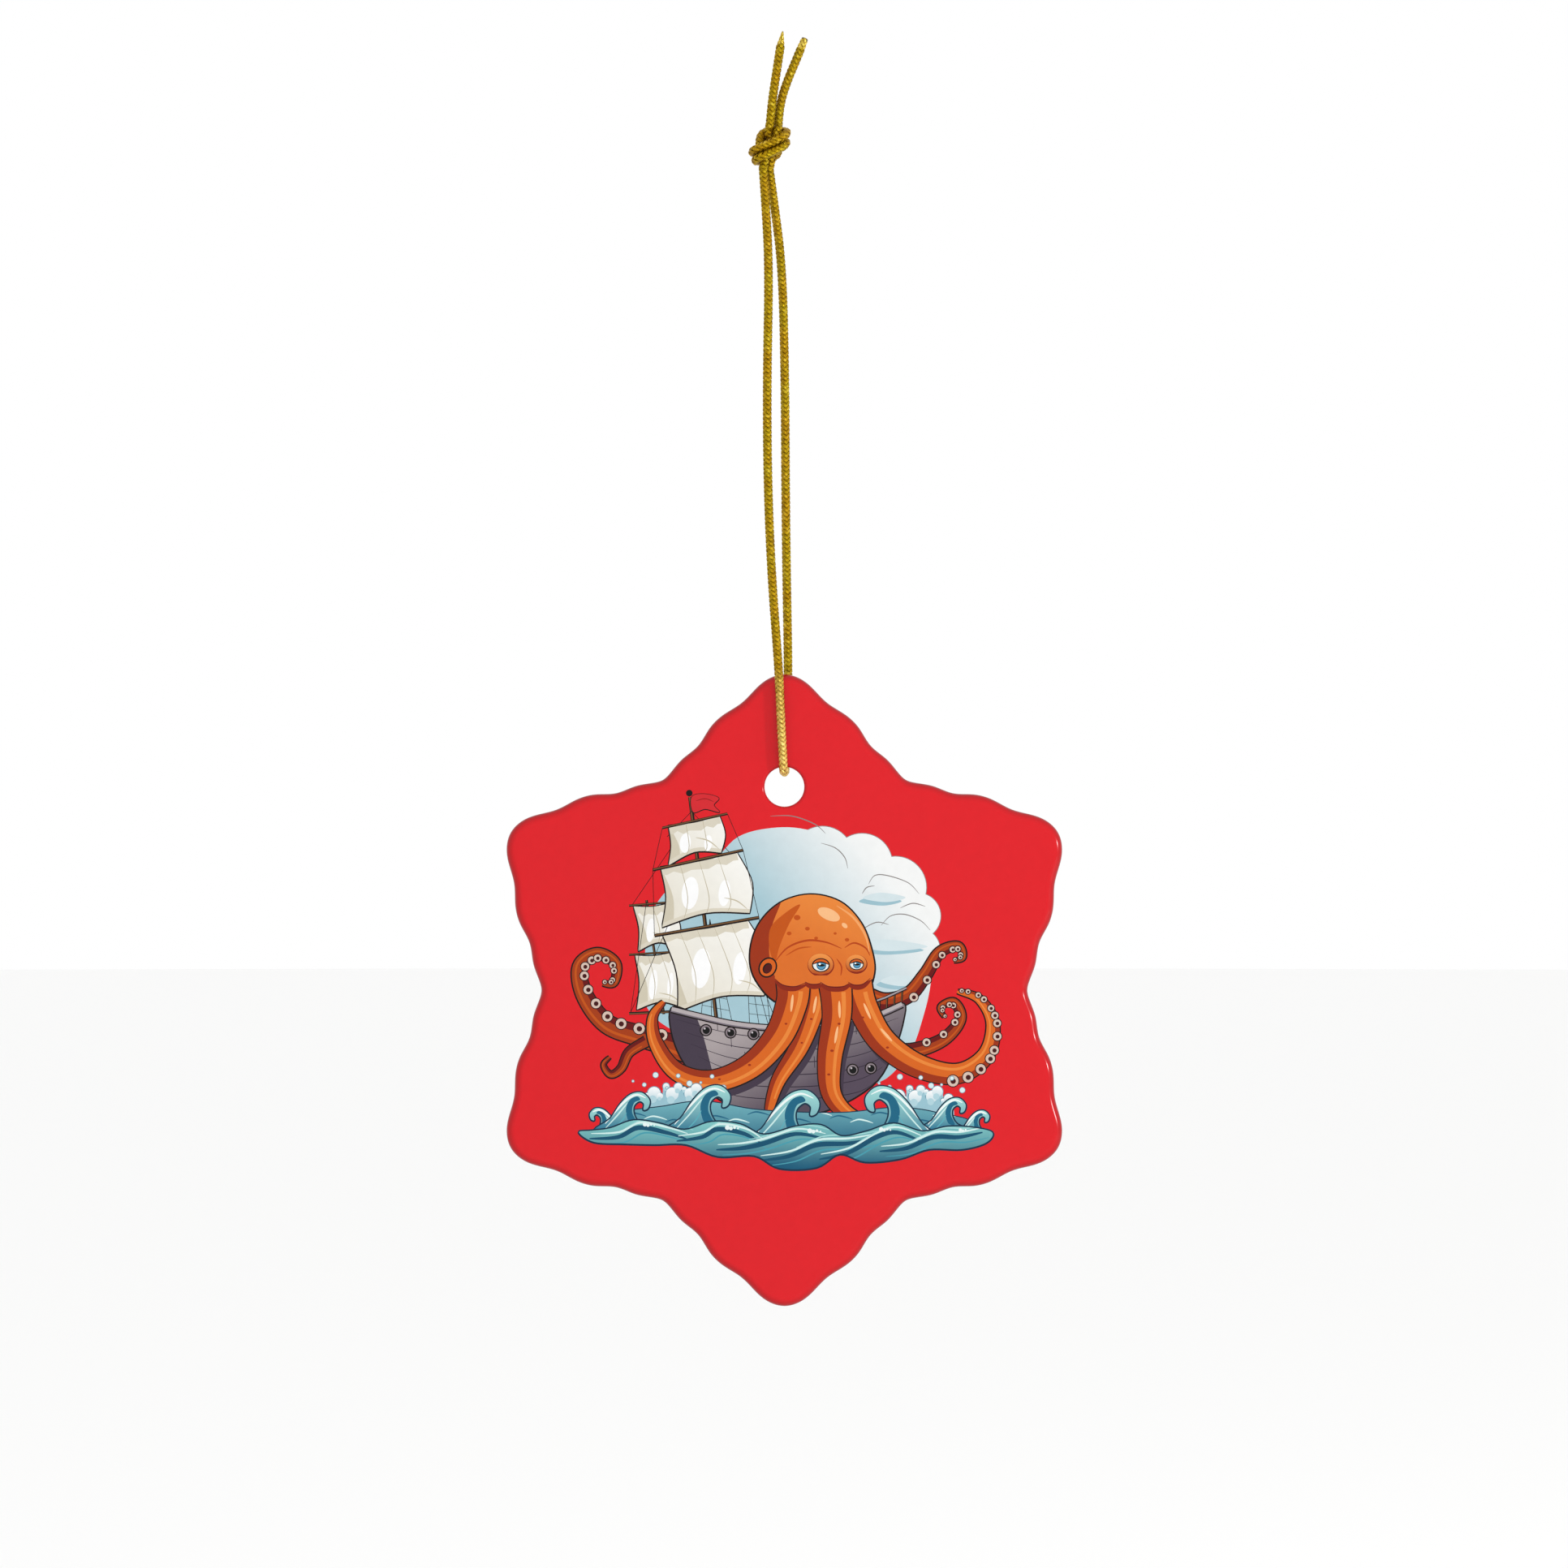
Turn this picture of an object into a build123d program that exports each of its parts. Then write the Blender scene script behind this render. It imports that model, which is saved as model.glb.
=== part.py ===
from build123d import *
import math
import os

# Hanging ceramic ornament: a six-armed scalloped plaque on a loop of braided gold cord,
# tied with a doubled overhand knot that leaves two short tails.
#
# Frame, in millimetres: the origin is the top of the hanging loop, midway between its two
# strands and level with the underside of the knot. +Z is up, the printed face looks along
# -Y, and +X is to the right of someone who looks at that face.

# ---- Plaque ----
ARM_COUNT = 6
ARM_ANGLE = 360.0 / ARM_COUNT
# Half an arm, from its tip to the notch beside it: degrees off the arm's axis, and
# distance from the plaque's centre. The other halves are its mirror image and its turns.
HALF_ARM = [
    (0.0, 39.9),
    (4.0, 39.0),
    (8.5, 36.7),
    (12.5, 35.65),
    (16.0, 34.4),
    (19.5, 32.75),
    (24.0, 31.9),
    (28.0, 30.95),
    (30.0, 30.7),
]
THICKNESS = 3.0
FRONT_EDGE_RADIUS = 1.1
BACK_EDGE_RADIUS = 0.6
HOLE_RADIUS = 2.5
HOLE_EDGE_RADIUS = 0.5
HOLE_ABOVE_CENTRE = 25.7
PLAQUE_X = 2.34  # the plaque's upright centre line stands this far right of the loop's top
# The printed coat is a thin skin over the face and the front part of the rim.
COAT_THICKNESS = 0.06
COAT_SEAM_Y = 0.2

# ---- Cord ----
CORD_DIAMETER = 1.15
CORD_RADIUS = CORD_DIAMETER / 2
CORD_GAP = 0.05
LOOP_DROP = 76.0  # from the top of the loop to the top of the hole
STRAND_Y = THICKNESS / 2 + CORD_GAP + CORD_RADIUS
BEND_RADIUS = HOLE_EDGE_RADIUS + CORD_GAP + CORD_RADIUS
ARC_SHARE = 0.45  # part of the shorter run that each gentle arc takes up
BEND_REACH = 1.6  # how far the bend through the hole comes up above it, as its own solid

# ---- Knot and tails ----
KNOT_CENTRE_X = 0.42
KNOT_HALF_WIDTH = 2.47
KNOT_HALF_DEPTH = 1.95
KNOT_TOP_Z = 4.7
KNOT_EDGE_RADIUS = 0.85
TIP_LENGTH = 2.0  # the sealed, tapered end of the left tail
TIP_RADIUS = 0.12

CUT_MARGIN = 1.0  # how far a cutting solid, or stock to be cut, runs past the cut

# ---- Worked out ----
HOLE_Z = -LOOP_DROP - HOLE_RADIUS
CENTRE_Z = HOLE_Z - HOLE_ABOVE_CENTRE
BEND_Z = -LOOP_DROP - CORD_GAP - CORD_RADIUS
BEND_TOP_Z = -LOOP_DROP + BEND_REACH
# The loop twists about the line from its top to the plaque's centre.
TWIST_AXIS = Vector(-PLAQUE_X, 0, -CENTRE_Z).normalized()

# The loop's route: down the front strand, through the hole and up the back strand.
LOOP_ROUTE = [
    (-0.38, -0.46, 0.0),
    (-0.02, -0.62, -5.0),
    (0.41, -0.88, -13.0),
    (0.14, -1.35, -27.0),
    (0.22, -1.80, -40.0),
    (0.72, -STRAND_Y, -52.0),
    (1.66, -STRAND_Y, -64.0),
    (1.94, -STRAND_Y, -71.0),
    (2.24, -STRAND_Y, BEND_Z),
    (2.44, STRAND_Y, BEND_Z),
    (2.68, STRAND_Y, -71.0),
    (2.84, STRAND_Y, -64.0),
    (2.62, STRAND_Y, -52.0),
    (2.48, 1.80, -40.0),
    (2.42, 1.35, -27.0),
    (2.09, 0.88, -13.0),
    (1.09, 0.62, -5.0),
    (0.38, 0.46, 0.0),
]
# The two corners that go round the edge of the hole.
HOLE_CORNERS = (8, 9)

LEFT_TAIL_ROUTE = [
    (0.48, -0.30, KNOT_TOP_Z),
    (0.74, -0.30, 7.8),
    (1.28, -0.34, 11.4),
    (1.82, -0.38, 14.9),
]
RIGHT_TAIL_ROUTE = [
    (1.54, 0.30, KNOT_TOP_Z),
    (1.68, 0.30, 7.4),
    (2.56, 0.33, 10.4),
    (3.89, 0.38, 13.5),
    (4.92, 0.40, 16.05),
]


def polar(degrees, distance):
    """A point of the plaque's outline: degrees from straight up, towards +X."""
    angle = math.radians(degrees)
    return Vector(distance * math.sin(angle), distance * math.cos(angle))


def outline(scale):
    """The whole scalloped outline as one face, centred on the origin."""
    points = []
    for arm in range(ARM_COUNT):
        axis = arm * ARM_ANGLE
        points += [polar(axis - degrees, distance * scale) for degrees, distance in reversed(HALF_ARM[1:])]
        points += [polar(axis + degrees, distance * scale) for degrees, distance in HALF_ARM[:-1]]
    curve = Spline(*points, periodic=True)
    half_arms = 2 * ARM_COUNT
    flanks = [curve.trim(index / half_arms, (index + 1) / half_arms) for index in range(half_arms)]
    return make_face(Wire(flanks))


def plate(inset, front_radius, hole_edge_radius):
    """The plaque's solid, its face, rim and hole brought in by inset on the front side."""
    scale = 1 - inset / HALF_ARM[0][1]
    depth = THICKNESS - inset
    slab = extrude(outline(scale), depth)
    front_rim = slab.edges().group_by(Axis.Z)[-1]
    slab = fillet(front_rim, front_radius)
    back_rim = slab.edges().group_by(Axis.Z)[0]
    slab = fillet(back_rim, BACK_EDGE_RADIUS)
    hole = Pos(0, HOLE_ABOVE_CENTRE, depth / 2) * Cylinder(HOLE_RADIUS + inset, depth + 2 * CUT_MARGIN)
    slab -= hole
    hole_rims = slab.edges().filter_by(GeomType.CIRCLE)
    slab = fillet(hole_rims, hole_edge_radius)
    # Local +Z, the printed side, turns to look along -Y, and local +Y stays up.
    return Pos(PLAQUE_X, THICKNESS / 2, CENTRE_Z) * Rot(90, 0, 0) * slab


def behind_seam():
    """A block that takes in everything behind the coat's seam."""
    side = 3 * HALF_ARM[0][1]  # well past the plaque on every side
    return Pos(PLAQUE_X, COAT_SEAM_Y + THICKNESS / 2, CENTRE_Z) * Box(side, THICKNESS, side)


def plaque_parts():
    """The ceramic body and the printed coat over its front."""
    whole = plate(0, FRONT_EDGE_RADIUS, HOLE_EDGE_RADIUS)
    core = plate(COAT_THICKNESS, FRONT_EDGE_RADIUS - COAT_THICKNESS, HOLE_EDGE_RADIUS - COAT_THICKNESS)
    back = whole & behind_seam()
    front_core = core - behind_seam()
    ceramic = back + front_core
    coat = (whole - behind_seam()) - core
    return ceramic, coat


def cord_path(points, special_radii):
    """Straight runs joined by tangent arcs, each as large as its two runs allow."""
    radii = []
    for index in range(1, len(points) - 1):
        before = points[index] - points[index - 1]
        after = points[index + 1] - points[index]
        half_turn = math.radians(before.get_angle(after)) / 2
        largest = ARC_SHARE * min(before.length, after.length) / math.tan(half_turn)
        radii.append(special_radii.get(index, largest))
    return FilletPolyline(*points, radius=radii), radii


def cord_tube(name, points, special_radii):
    """A round tube along the route. It prints the arcs' radii and checks the volume."""
    path, radii = cord_path(points, special_radii)
    section = Plane(origin=path @ 0, z_dir=path % 0) * Circle(CORD_RADIUS)
    tube = sweep(section, path=path)
    expected = math.pi * CORD_RADIUS**2 * path.length
    print(f"{name}: arc radii {[round(radius, 2) for radius in radii]}")
    print(f"{name}: length {path.length:.2f}, volume {tube.volume:.3f}, section x length {expected:.3f}")
    return tube, path


def run_on(points):
    """The same route, its first run lengthened backwards by one cord radius."""
    route = [Vector(*point) for point in points]
    route[0] += (route[0] - route[1]).normalized() * CORD_RADIUS
    return route


def loop_parts():
    """The loop's front strand, the short bend through the hole, and the back strand."""
    route = run_on(reversed(run_on(reversed(LOOP_ROUTE))))
    loop, _ = cord_tube("loop", route, {index: BEND_RADIUS for index in HOLE_CORNERS})
    # Both ends are cut square to the twist's axis, so they turn against the knot.
    loop = split(loop, bisect_by=Plane(origin=(0, 0, 0), z_dir=TWIST_AXIS), keep=Keep.BOTTOM)
    bend_top = Plane(origin=(0, 0, BEND_TOP_Z), z_dir=(0, 0, 1))
    strands = split(loop, bisect_by=bend_top, keep=Keep.TOP)
    bend = split(loop, bisect_by=bend_top, keep=Keep.BOTTOM)
    front, back = sorted(strands.solids(), key=lambda strand: strand.center().Y)
    return front, bend.solid(), back


def tail(name, points, tapered):
    """A free end, cut level where it leaves the knot, and sealed to a taper if asked."""
    tube, path = cord_tube(name, run_on(points), {})
    if tapered:
        tip = Cone(CORD_RADIUS, TIP_RADIUS, TIP_LENGTH, align=(Align.CENTER, Align.CENTER, Align.MIN))
        tube += Plane(origin=path @ 1, z_dir=path % 1) * tip
    knot_top = Plane(origin=(0, 0, KNOT_TOP_Z), z_dir=(0, 0, 1))
    return split(tube, bisect_by=knot_top, keep=Keep.TOP)


def knot():
    """The outer shape of the doubled overhand knot, flat where strands and tails leave it."""
    section = Pos(KNOT_CENTRE_X, 0, -CUT_MARGIN) * Ellipse(KNOT_HALF_WIDTH, KNOT_HALF_DEPTH)
    barrel = extrude(section, KNOT_TOP_Z + CUT_MARGIN)
    underside = Plane(origin=(0, 0, 0), z_dir=TWIST_AXIS)
    barrel = split(barrel, bisect_by=underside, keep=Keep.TOP)
    return fillet(barrel.edges().filter_by(GeomType.ELLIPSE), KNOT_EDGE_RADIUS)


def main():
    os.makedirs("parts", exist_ok=True)
    ceramic, coat = plaque_parts()
    front_strand, hole_bend, back_strand = loop_parts()
    nodes = {
        "ceramic_plaque": ceramic,
        "print_coat": coat,
        "cord_front_strand": front_strand,
        "cord_hole_bend": hole_bend,
        "cord_back_strand": back_strand,
        "cord_knot": knot(),
        "cord_tail_left": tail("left tail", LEFT_TAIL_ROUTE, tapered=True),
        "cord_tail_right": tail("right tail", RIGHT_TAIL_ROUTE, tapered=False),
    }
    for node, shape in nodes.items():
        export_step(shape, f"parts/{node}.step")


main()
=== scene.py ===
import math

import bmesh
import bpy
import numpy as np
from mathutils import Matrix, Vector
from mathutils.geometry import delaunay_2d_cdt


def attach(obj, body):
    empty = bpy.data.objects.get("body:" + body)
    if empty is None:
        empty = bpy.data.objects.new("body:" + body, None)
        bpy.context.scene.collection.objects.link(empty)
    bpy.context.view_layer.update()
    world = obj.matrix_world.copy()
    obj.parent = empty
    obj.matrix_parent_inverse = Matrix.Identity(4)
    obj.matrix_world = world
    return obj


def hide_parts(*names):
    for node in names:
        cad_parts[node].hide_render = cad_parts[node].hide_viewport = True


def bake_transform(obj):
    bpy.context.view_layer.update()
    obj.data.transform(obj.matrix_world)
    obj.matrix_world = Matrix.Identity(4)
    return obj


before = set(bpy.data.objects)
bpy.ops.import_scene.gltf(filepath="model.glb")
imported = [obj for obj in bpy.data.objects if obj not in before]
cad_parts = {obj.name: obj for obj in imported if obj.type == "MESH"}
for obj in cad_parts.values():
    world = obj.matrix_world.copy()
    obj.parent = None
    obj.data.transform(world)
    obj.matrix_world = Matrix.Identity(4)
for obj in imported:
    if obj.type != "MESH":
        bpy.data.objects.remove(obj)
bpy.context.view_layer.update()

# Hanging ceramic ornament: a scalloped plaque with a printed, glossy face, on a loop of
# braided gold cord tied in a doubled overhand knot. Blender objects are in metres; sizes
# below are in millimetres, in the frame of the CAD model, and mm() turns them into metres.

# ---- Plaque, as in the CAD model ----
ARM_COUNT = 6
HALF_ARM = [
    (0.0, 39.9),
    (4.0, 39.0),
    (8.5, 36.7),
    (12.5, 35.65),
    (16.0, 34.4),
    (19.5, 32.75),
    (24.0, 31.9),
    (28.0, 30.95),
    (30.0, 30.7),
]
THICKNESS = 3.0
FRONT_Y = -THICKNESS / 2
BACK_Y = THICKNESS / 2
FRONT_EDGE_RADIUS = 1.1
BACK_EDGE_RADIUS = 0.6
HOLE_RADIUS = 2.5
HOLE_EDGE_RADIUS = 0.5
HOLE_ABOVE_CENTRE = 25.7
OUTLINE_STEPS = 8
HOLE_SIDES = 72
CERAMIC_EDGE_STEPS = 5
COAT_EDGE_STEPS = 8
SHARP_ANGLE = math.radians(35)
COAT_THICKNESS = 0.06
COAT_SEAM_Y = 0.2
PLAQUE_X = 2.34
CENTRE_Z = -104.2

# ---- Cord ----
CORD_DIAMETER = 1.15
STRAND_Y = 2.125
BEND_Z = -76.625
# Beside the plaque the yarn's colour turns pale, from the first height to the second.
PALER_FROM_Z = -63.5
PALEST_Z = -76.5
ROUTE_STEPS = 24

# Down the front strand, round the edge of the hole and up the back strand. The points
# beside the two corners keep the smooth line close to the edge of the hole.
LOOP_ROUTE = [
    (-0.38, -0.46, 0.0),
    (-0.02, -0.62, -5.0),
    (0.41, -0.88, -13.0),
    (0.14, -1.35, -27.0),
    (0.22, -1.80, -40.0),
    (0.72, -STRAND_Y, -52.0),
    (1.66, -STRAND_Y, -64.0),
    (1.94, -STRAND_Y, -71.0),
    (2.15, -STRAND_Y, -74.375),
    (2.24, -STRAND_Y, BEND_Z),
    (2.34, 0.0, -76.66),
    (2.44, STRAND_Y, BEND_Z),
    (2.52, STRAND_Y, -74.375),
    (2.68, STRAND_Y, -71.0),
    (2.84, STRAND_Y, -64.0),
    (2.62, STRAND_Y, -52.0),
    (2.48, 1.80, -40.0),
    (2.42, 1.35, -27.0),
    (2.09, 0.88, -13.0),
    (1.09, 0.62, -5.0),
    (0.38, 0.46, 0.0),
]
LEFT_TAIL_ROUTE = [
    (0.48, -0.30, 4.7),
    (0.74, -0.30, 7.8),
    (1.28, -0.34, 11.4),
    (1.82, -0.38, 14.9),
    (2.13, -0.41, 16.9),
]
RIGHT_TAIL_ROUTE = [
    (1.54, 0.30, 4.7),
    (1.68, 0.30, 7.4),
    (2.56, 0.33, 10.4),
    (3.89, 0.38, 13.5),
    (4.92, 0.40, 16.05),
]
# Each tail thins to its tip: over how many millimetres, and to what share of its thickness.
LEFT_TIP = (2.0, 0.2)
RIGHT_TIP = (1.7, 0.8)
# The fused part of each tip is smoother and carries a painted highlight.
FUSED_GLINT_SHARE = 0.85  # how much of the tip is fused bright
# The dome over a cut end: the radius of each of its rings, and how far out it stands.
DOME = ((0.50, -0.25), (0.53, -0.05), (0.50, 0.06), (0.36, 0.13), (0.12, 0.16))
DOME_SIDES = 14

# A loose overhand knot in the doubled cord: where the pair's middle runs, and how far the
# first strand stands off it. Listed from the loop to the tails; tie_knot() pulls it tight.
LOOSE_KNOT = [
    ((0.0, 0.0, -4.7), (-0.38, -0.46, 0.0)),
    ((0.0, 0.0, -2.1), (-0.38, -0.46, 0.0)),
    ((-0.3, 0.2, 0.3), (-0.45, -0.42, 0.0)),
    ((-0.9, 0.6, 2.5), (-0.6, -0.1, 0.1)),
    ((-0.7, 1.3, 4.5), (-0.5, 0.0, 0.4)),
    ((0.6, 1.7, 5.5), (-0.1, 0.0, 0.62)),
    ((2.4, 1.2, 4.9), (0.3, 0.0, 0.6)),
    ((3.3, -0.3, 3.7), (0.35, -0.1, 0.6)),
    ((2.4, -1.9, 2.9), (0.1, -0.2, 0.6)),
    ((0.4, -2.4, 1.7), (-0.1, 0.0, 0.62)),
    ((-1.8, -1.8, 0.6), (-0.1, 0.0, 0.66)),
    ((-3.0, -0.2, 0.3), (0.0, 0.0, 0.7)),
    ((-2.2, 1.6, 0.6), (0.0, 0.0, 0.66)),
    ((0.0, 2.5, 1.3), (0.0, 0.0, 0.62)),
    ((2.2, 1.9, 1.9), (-0.15, -0.1, 0.6)),
    ((2.6, 0.5, 2.6), (-0.5, 0.1, 0.35)),
    ((1.9, -0.5, 2.9), (-0.6, 0.0, 0.15)),
    ((1.3, -0.7, 4.5), (-0.6, 0.0, 0.0)),
    ((1.1, -0.2, 6.5), (-0.55, -0.2, 0.0)),
    ((1.3, 0.0, 9.3), (-0.62, -0.3, 0.0)),
]
KNOT_POINTS = 120
KNOT_ROUNDS = 300
KNOT_OVERLAP = 0.4  # the knot's strands run this far into the loop's and the tails'
# The tied strands are kept from this far above the loop to this far below the tails.
FOOT_LEAD = 0.7
HEAD_LEAD = 0.3
LEAD_ROUNDS = 24

# ---- Braid: eight flat yarns, four each way round, over two and under two ----
YARNS_EACH_WAY = 4
BRAID_PITCH = 2.3
BRAID_RADIUS = 0.394
BRAID_WAVE = 0.106
YARN_HALF_WIDTH = 0.235
YARN_HALF_DEPTH = 0.085
YARN_SIDES = 6
BRAID_STEP = 0.16
BRAID_SPINE = math.radians(22.5)
CORE_RADIUS = 0.30
CORE_SIDES = 10
FIRST_SIDE = (1.0, 0.0, 0.0)  # where the braid's yarns are counted from
# The materials of a piece of cord, in order.
YARN_SLOT, CORE_SLOT, SEALED_SLOT, FUSED_GLINT_SLOT = range(4)

# ---- Camera, light and floor ----
VIEW_X = 2.29
VIEW_Z = -78.15
VIEW_WIDTH = 198.15
CAMERA_DISTANCE = 900.0
CAMERA_NEAREST = 10.0
SENSOR_WIDTH = 36.0
# The key light: which way and how far it stands from the plaque, its width and its power.
KEY_WAY = (0.85, -0.50, 0.16)
KEY_DISTANCE = 700.0
KEY_SIZE = 60.0
KEY_WATTS = 1.56
FLOOR_Z = -205.0
FLOOR_RADIUS = 4000.0
FLOOR_SIDES = 96


def mm(*values):
    """Millimetres as metres."""
    return tuple(value * 0.001 for value in values)


def linked(name, data):
    """A new object in the scene that holds the data."""
    made = bpy.data.objects.new(name, data)
    bpy.context.collection.objects.link(made)
    return made


def unit(vectors):
    """The same vectors, each of length one."""
    return vectors / np.linalg.norm(vectors, axis=-1, keepdims=True)


def read(items, name, width=1, kind=float):
    """One property of every item of a mesh, as an array."""
    found = np.zeros(len(items) * width, dtype=kind)
    items.foreach_get(name, found)
    return found.reshape(-1, width) if width > 1 else found


# ======== Camera, light and floor ========

def make_camera():
    """Level, square to the printed face."""
    data = bpy.data.cameras.new("camera")
    data.sensor_width = SENSOR_WIDTH
    data.lens = SENSOR_WIDTH * CAMERA_DISTANCE / VIEW_WIDTH
    data.clip_start = CAMERA_NEAREST * 0.001
    camera = linked("camera", data)
    camera.location = mm(VIEW_X, -CAMERA_DISTANCE, VIEW_Z)
    camera.rotation_euler = (math.pi / 2, 0.0, 0.0)
    bpy.context.scene.camera = camera


def make_light():
    """An even white studio, and a small key light on the right that rakes across the face."""
    scene = bpy.context.scene
    world = bpy.data.worlds.new("studio")
    world.use_nodes = True
    background = world.node_tree.nodes["Background"]
    background.inputs["Color"].default_value = (1.0, 1.0, 1.0, 1.0)
    background.inputs["Strength"].default_value = 1.0
    scene.world = world
    scene.view_settings.view_transform = "Standard"
    data = bpy.data.lights.new("key", "AREA")
    data.shape = "DISK"
    data.size = KEY_SIZE * 0.001
    data.energy = KEY_WATTS
    key = linked("key", data)
    target = Vector(mm(PLAQUE_X, 0, CENTRE_Z))
    key.location = target + Vector(KEY_WAY).normalized() * KEY_DISTANCE * 0.001
    key.rotation_euler = (target - key.location).to_track_quat("-Z", "Y").to_euler()


def make_floor():
    """A plain pale floor, below the hung object."""
    mesh = bpy.data.meshes.new("floor")
    turns = np.linspace(0.0, 2 * math.pi, FLOOR_SIDES, endpoint=False)
    ring = [mm(FLOOR_RADIUS * math.cos(turn), FLOOR_RADIUS * math.sin(turn), FLOOR_Z) for turn in turns]
    mesh.from_pydata(ring, [], [tuple(range(FLOOR_SIDES))])
    pale = Finish("floor_pale", Base_Color=(0.95, 0.95, 0.945, 1.0), Roughness=0.8)
    mesh.materials.append(pale.material)
    floor = linked("floor", mesh)


# ======== Materials ========

class Finish:
    """A material and the nodes that make it up. Sockets are named with underscores for spaces."""

    def __init__(self, name, **values):
        self.material = bpy.data.materials.new(name)
        self.material.use_nodes = True
        self.tree = self.material.node_tree
        self.shader = self.tree.nodes["Principled BSDF"]
        self.set(self.shader, **values)

    def set(self, made, **settings):
        """Set a node's own settings, and its sockets."""
        for name, value in settings.items():
            if hasattr(made, name):
                setattr(made, name, value)
            else:
                made.inputs[name.replace("_", " ")].default_value = value

    def node(self, kind, **settings):
        made = self.tree.nodes.new(kind)
        self.set(made, **settings)
        return made

    def feed(self, made, **sources):
        """Link an output to each named socket."""
        for name, source in sources.items():
            self.tree.links.new(source, made.inputs[name.replace("_", " ")])

    def noise(self, scale, detail=3.0, roughness=0.5):
        """Three-dimensional noise in the object's own space; scale is in features per metre."""
        made = self.node("ShaderNodeTexNoise", Scale=scale, Detail=detail, Roughness=roughness)
        self.feed(made, Vector=self.node("ShaderNodeTexCoord").outputs["Object"])
        return made.outputs["Fac"]

    def ramp(self, source, *stops):
        """A colour ramp; each stop is a place and a colour, or a place and a level of grey."""
        made = self.node("ShaderNodeValToRGB")
        while len(made.color_ramp.elements) < len(stops):
            made.color_ramp.elements.new(0.5)
        for element, (place, colour) in zip(made.color_ramp.elements, stops):
            element.position = place
            element.color = (*colour, 1.0) if isinstance(colour, tuple) else (colour, colour, colour, 1.0)
        self.feed(made, Fac=source)
        return made.outputs["Color"]

    def mottle(self, scale, *stops, detail=3.0, roughness=0.5):
        """Noise through a colour ramp."""
        return self.ramp(self.noise(scale, detail, roughness), *stops)

    def multiply(self, first, second):
        made = self.node("ShaderNodeMixRGB", blend_type="MULTIPLY", Fac=1.0)
        self.feed(made, Color1=first, Color2=second)
        return made.outputs["Color"]

    def bump(self, source, distance, strength=1.0):
        made = self.node("ShaderNodeBump", Strength=strength, Distance=distance)
        self.feed(made, Height=source)
        self.feed(self.shader, Normal=made.outputs["Normal"])


def glossy_print():
    """The printed coat: the picture's inks under a clear gloss, with a faint mottle and orange peel."""
    coat = Finish("printed_face", IOR=PRINT_IOR)
    # The ink attribute holds the print's colours and the painted shade on the rounded edge.
    inks = coat.node("ShaderNodeAttribute", attribute_name="ink").outputs["Color"]
    colour = coat.multiply(inks, coat.mottle(900.0, (0.3, 0.965), (0.7, 1.0)))
    gloss = coat.mottle(260.0, (0.2, 0.13), (0.8, 0.21))
    coat.feed(coat.shader, Base_Color=colour, Roughness=gloss)
    coat.bump(coat.noise(420.0, 2.0), 0.000012)
    return coat.material


def white_glaze():
    """The bare ceramic: a near-white glaze with faint warm clouding and pinprick specks."""
    glaze = Finish("white_ceramic", IOR=1.5)
    clouds = glaze.mottle(120.0, (0.3, (0.695, 0.688, 0.67)), (0.7, (0.72, 0.714, 0.70)))
    specks = glaze.mottle(2600.0, (0.17, (0.72, 0.66, 0.58)), (0.22, 1.0), detail=1.0)
    gloss = glaze.mottle(200.0, (0.2, 0.08), (0.8, 0.2))
    glaze.feed(glaze.shader, Base_Color=glaze.multiply(clouds, specks), Roughness=gloss)
    glaze.bump(glaze.noise(160.0), 0.00004)
    return glaze.material


def gold_yarn():
    """Metallised yarn: olive to amber gold with painted bright glints, ribbed by its filaments."""
    yarn = Finish("gold_cord", Metallic=0.88)
    # Random tone of the yarn; its brightest stop is a painted glint.
    tint = yarn.mottle(
        1500.0,
        (0.25, (0.20, 0.10, 0.001)),
        (0.42, (0.36, 0.225, 0.001)),
        (0.58, (0.47, 0.31, 0.003)),
        (0.75, (0.82, 0.62, 0.08)),
        detail=4.0,
        roughness=0.65,
    )
    drift = yarn.mottle(380.0, (0.38, (1.0, 0.89, 0.8)), (0.62, (0.95, 1.0, 1.0)), detail=2.0)
    # The cord's colour turns pale beside the plaque, palest at the hole.
    height = yarn.node("ShaderNodeSeparateXYZ")
    yarn.feed(height, Vector=yarn.node("ShaderNodeTexCoord").outputs["Object"])
    down = yarn.node("ShaderNodeMapRange", From_Min=PALER_FROM_Z * 0.001, From_Max=PALEST_Z * 0.001)
    yarn.feed(down, Value=height.outputs["Z"])
    paling = yarn.ramp(down.outputs["Result"], (0.0, 0.0), (0.2, 0.4), (1.0, 1.0))
    pale = yarn.mottle(1500.0, (0.3, (0.66, 0.42, 0.07)), (0.7, (1.0, 0.80, 0.27)), detail=4.0)
    blended = yarn.node("ShaderNodeMixRGB")
    yarn.feed(blended, Fac=paling, Color1=yarn.multiply(tint, drift), Color2=pale)
    sheen = yarn.mottle(2400.0, (0.3, 0.5), (0.75, 0.26), detail=2.0)
    yarn.feed(yarn.shader, Base_Color=blended.outputs["Color"], Roughness=sheen)
    filaments = yarn.node(
        "ShaderNodeTexWave", Scale=5.0, Distortion=1.5, Detail=1.0, bands_direction="DIAGONAL"
    )
    yarn.feed(filaments, Vector=yarn.node("ShaderNodeUVMap", uv_map="yarn").outputs["UV"])
    yarn.bump(filaments.outputs["Fac"], 0.00003, 0.8)
    return yarn.material


def shaded_core():
    """The thread inside the braid, seen only between the yarns, coloured dark as painted shade in the gaps.
    """
    core = Finish("gold_cord_shaded_core", Roughness=0.7)
    tint = core.mottle(2500.0, (0.35, (0.055, 0.018, 0.002)), (0.7, (0.14, 0.06, 0.004)))
    core.feed(core.shader, Base_Color=tint)
    return core.material


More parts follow.
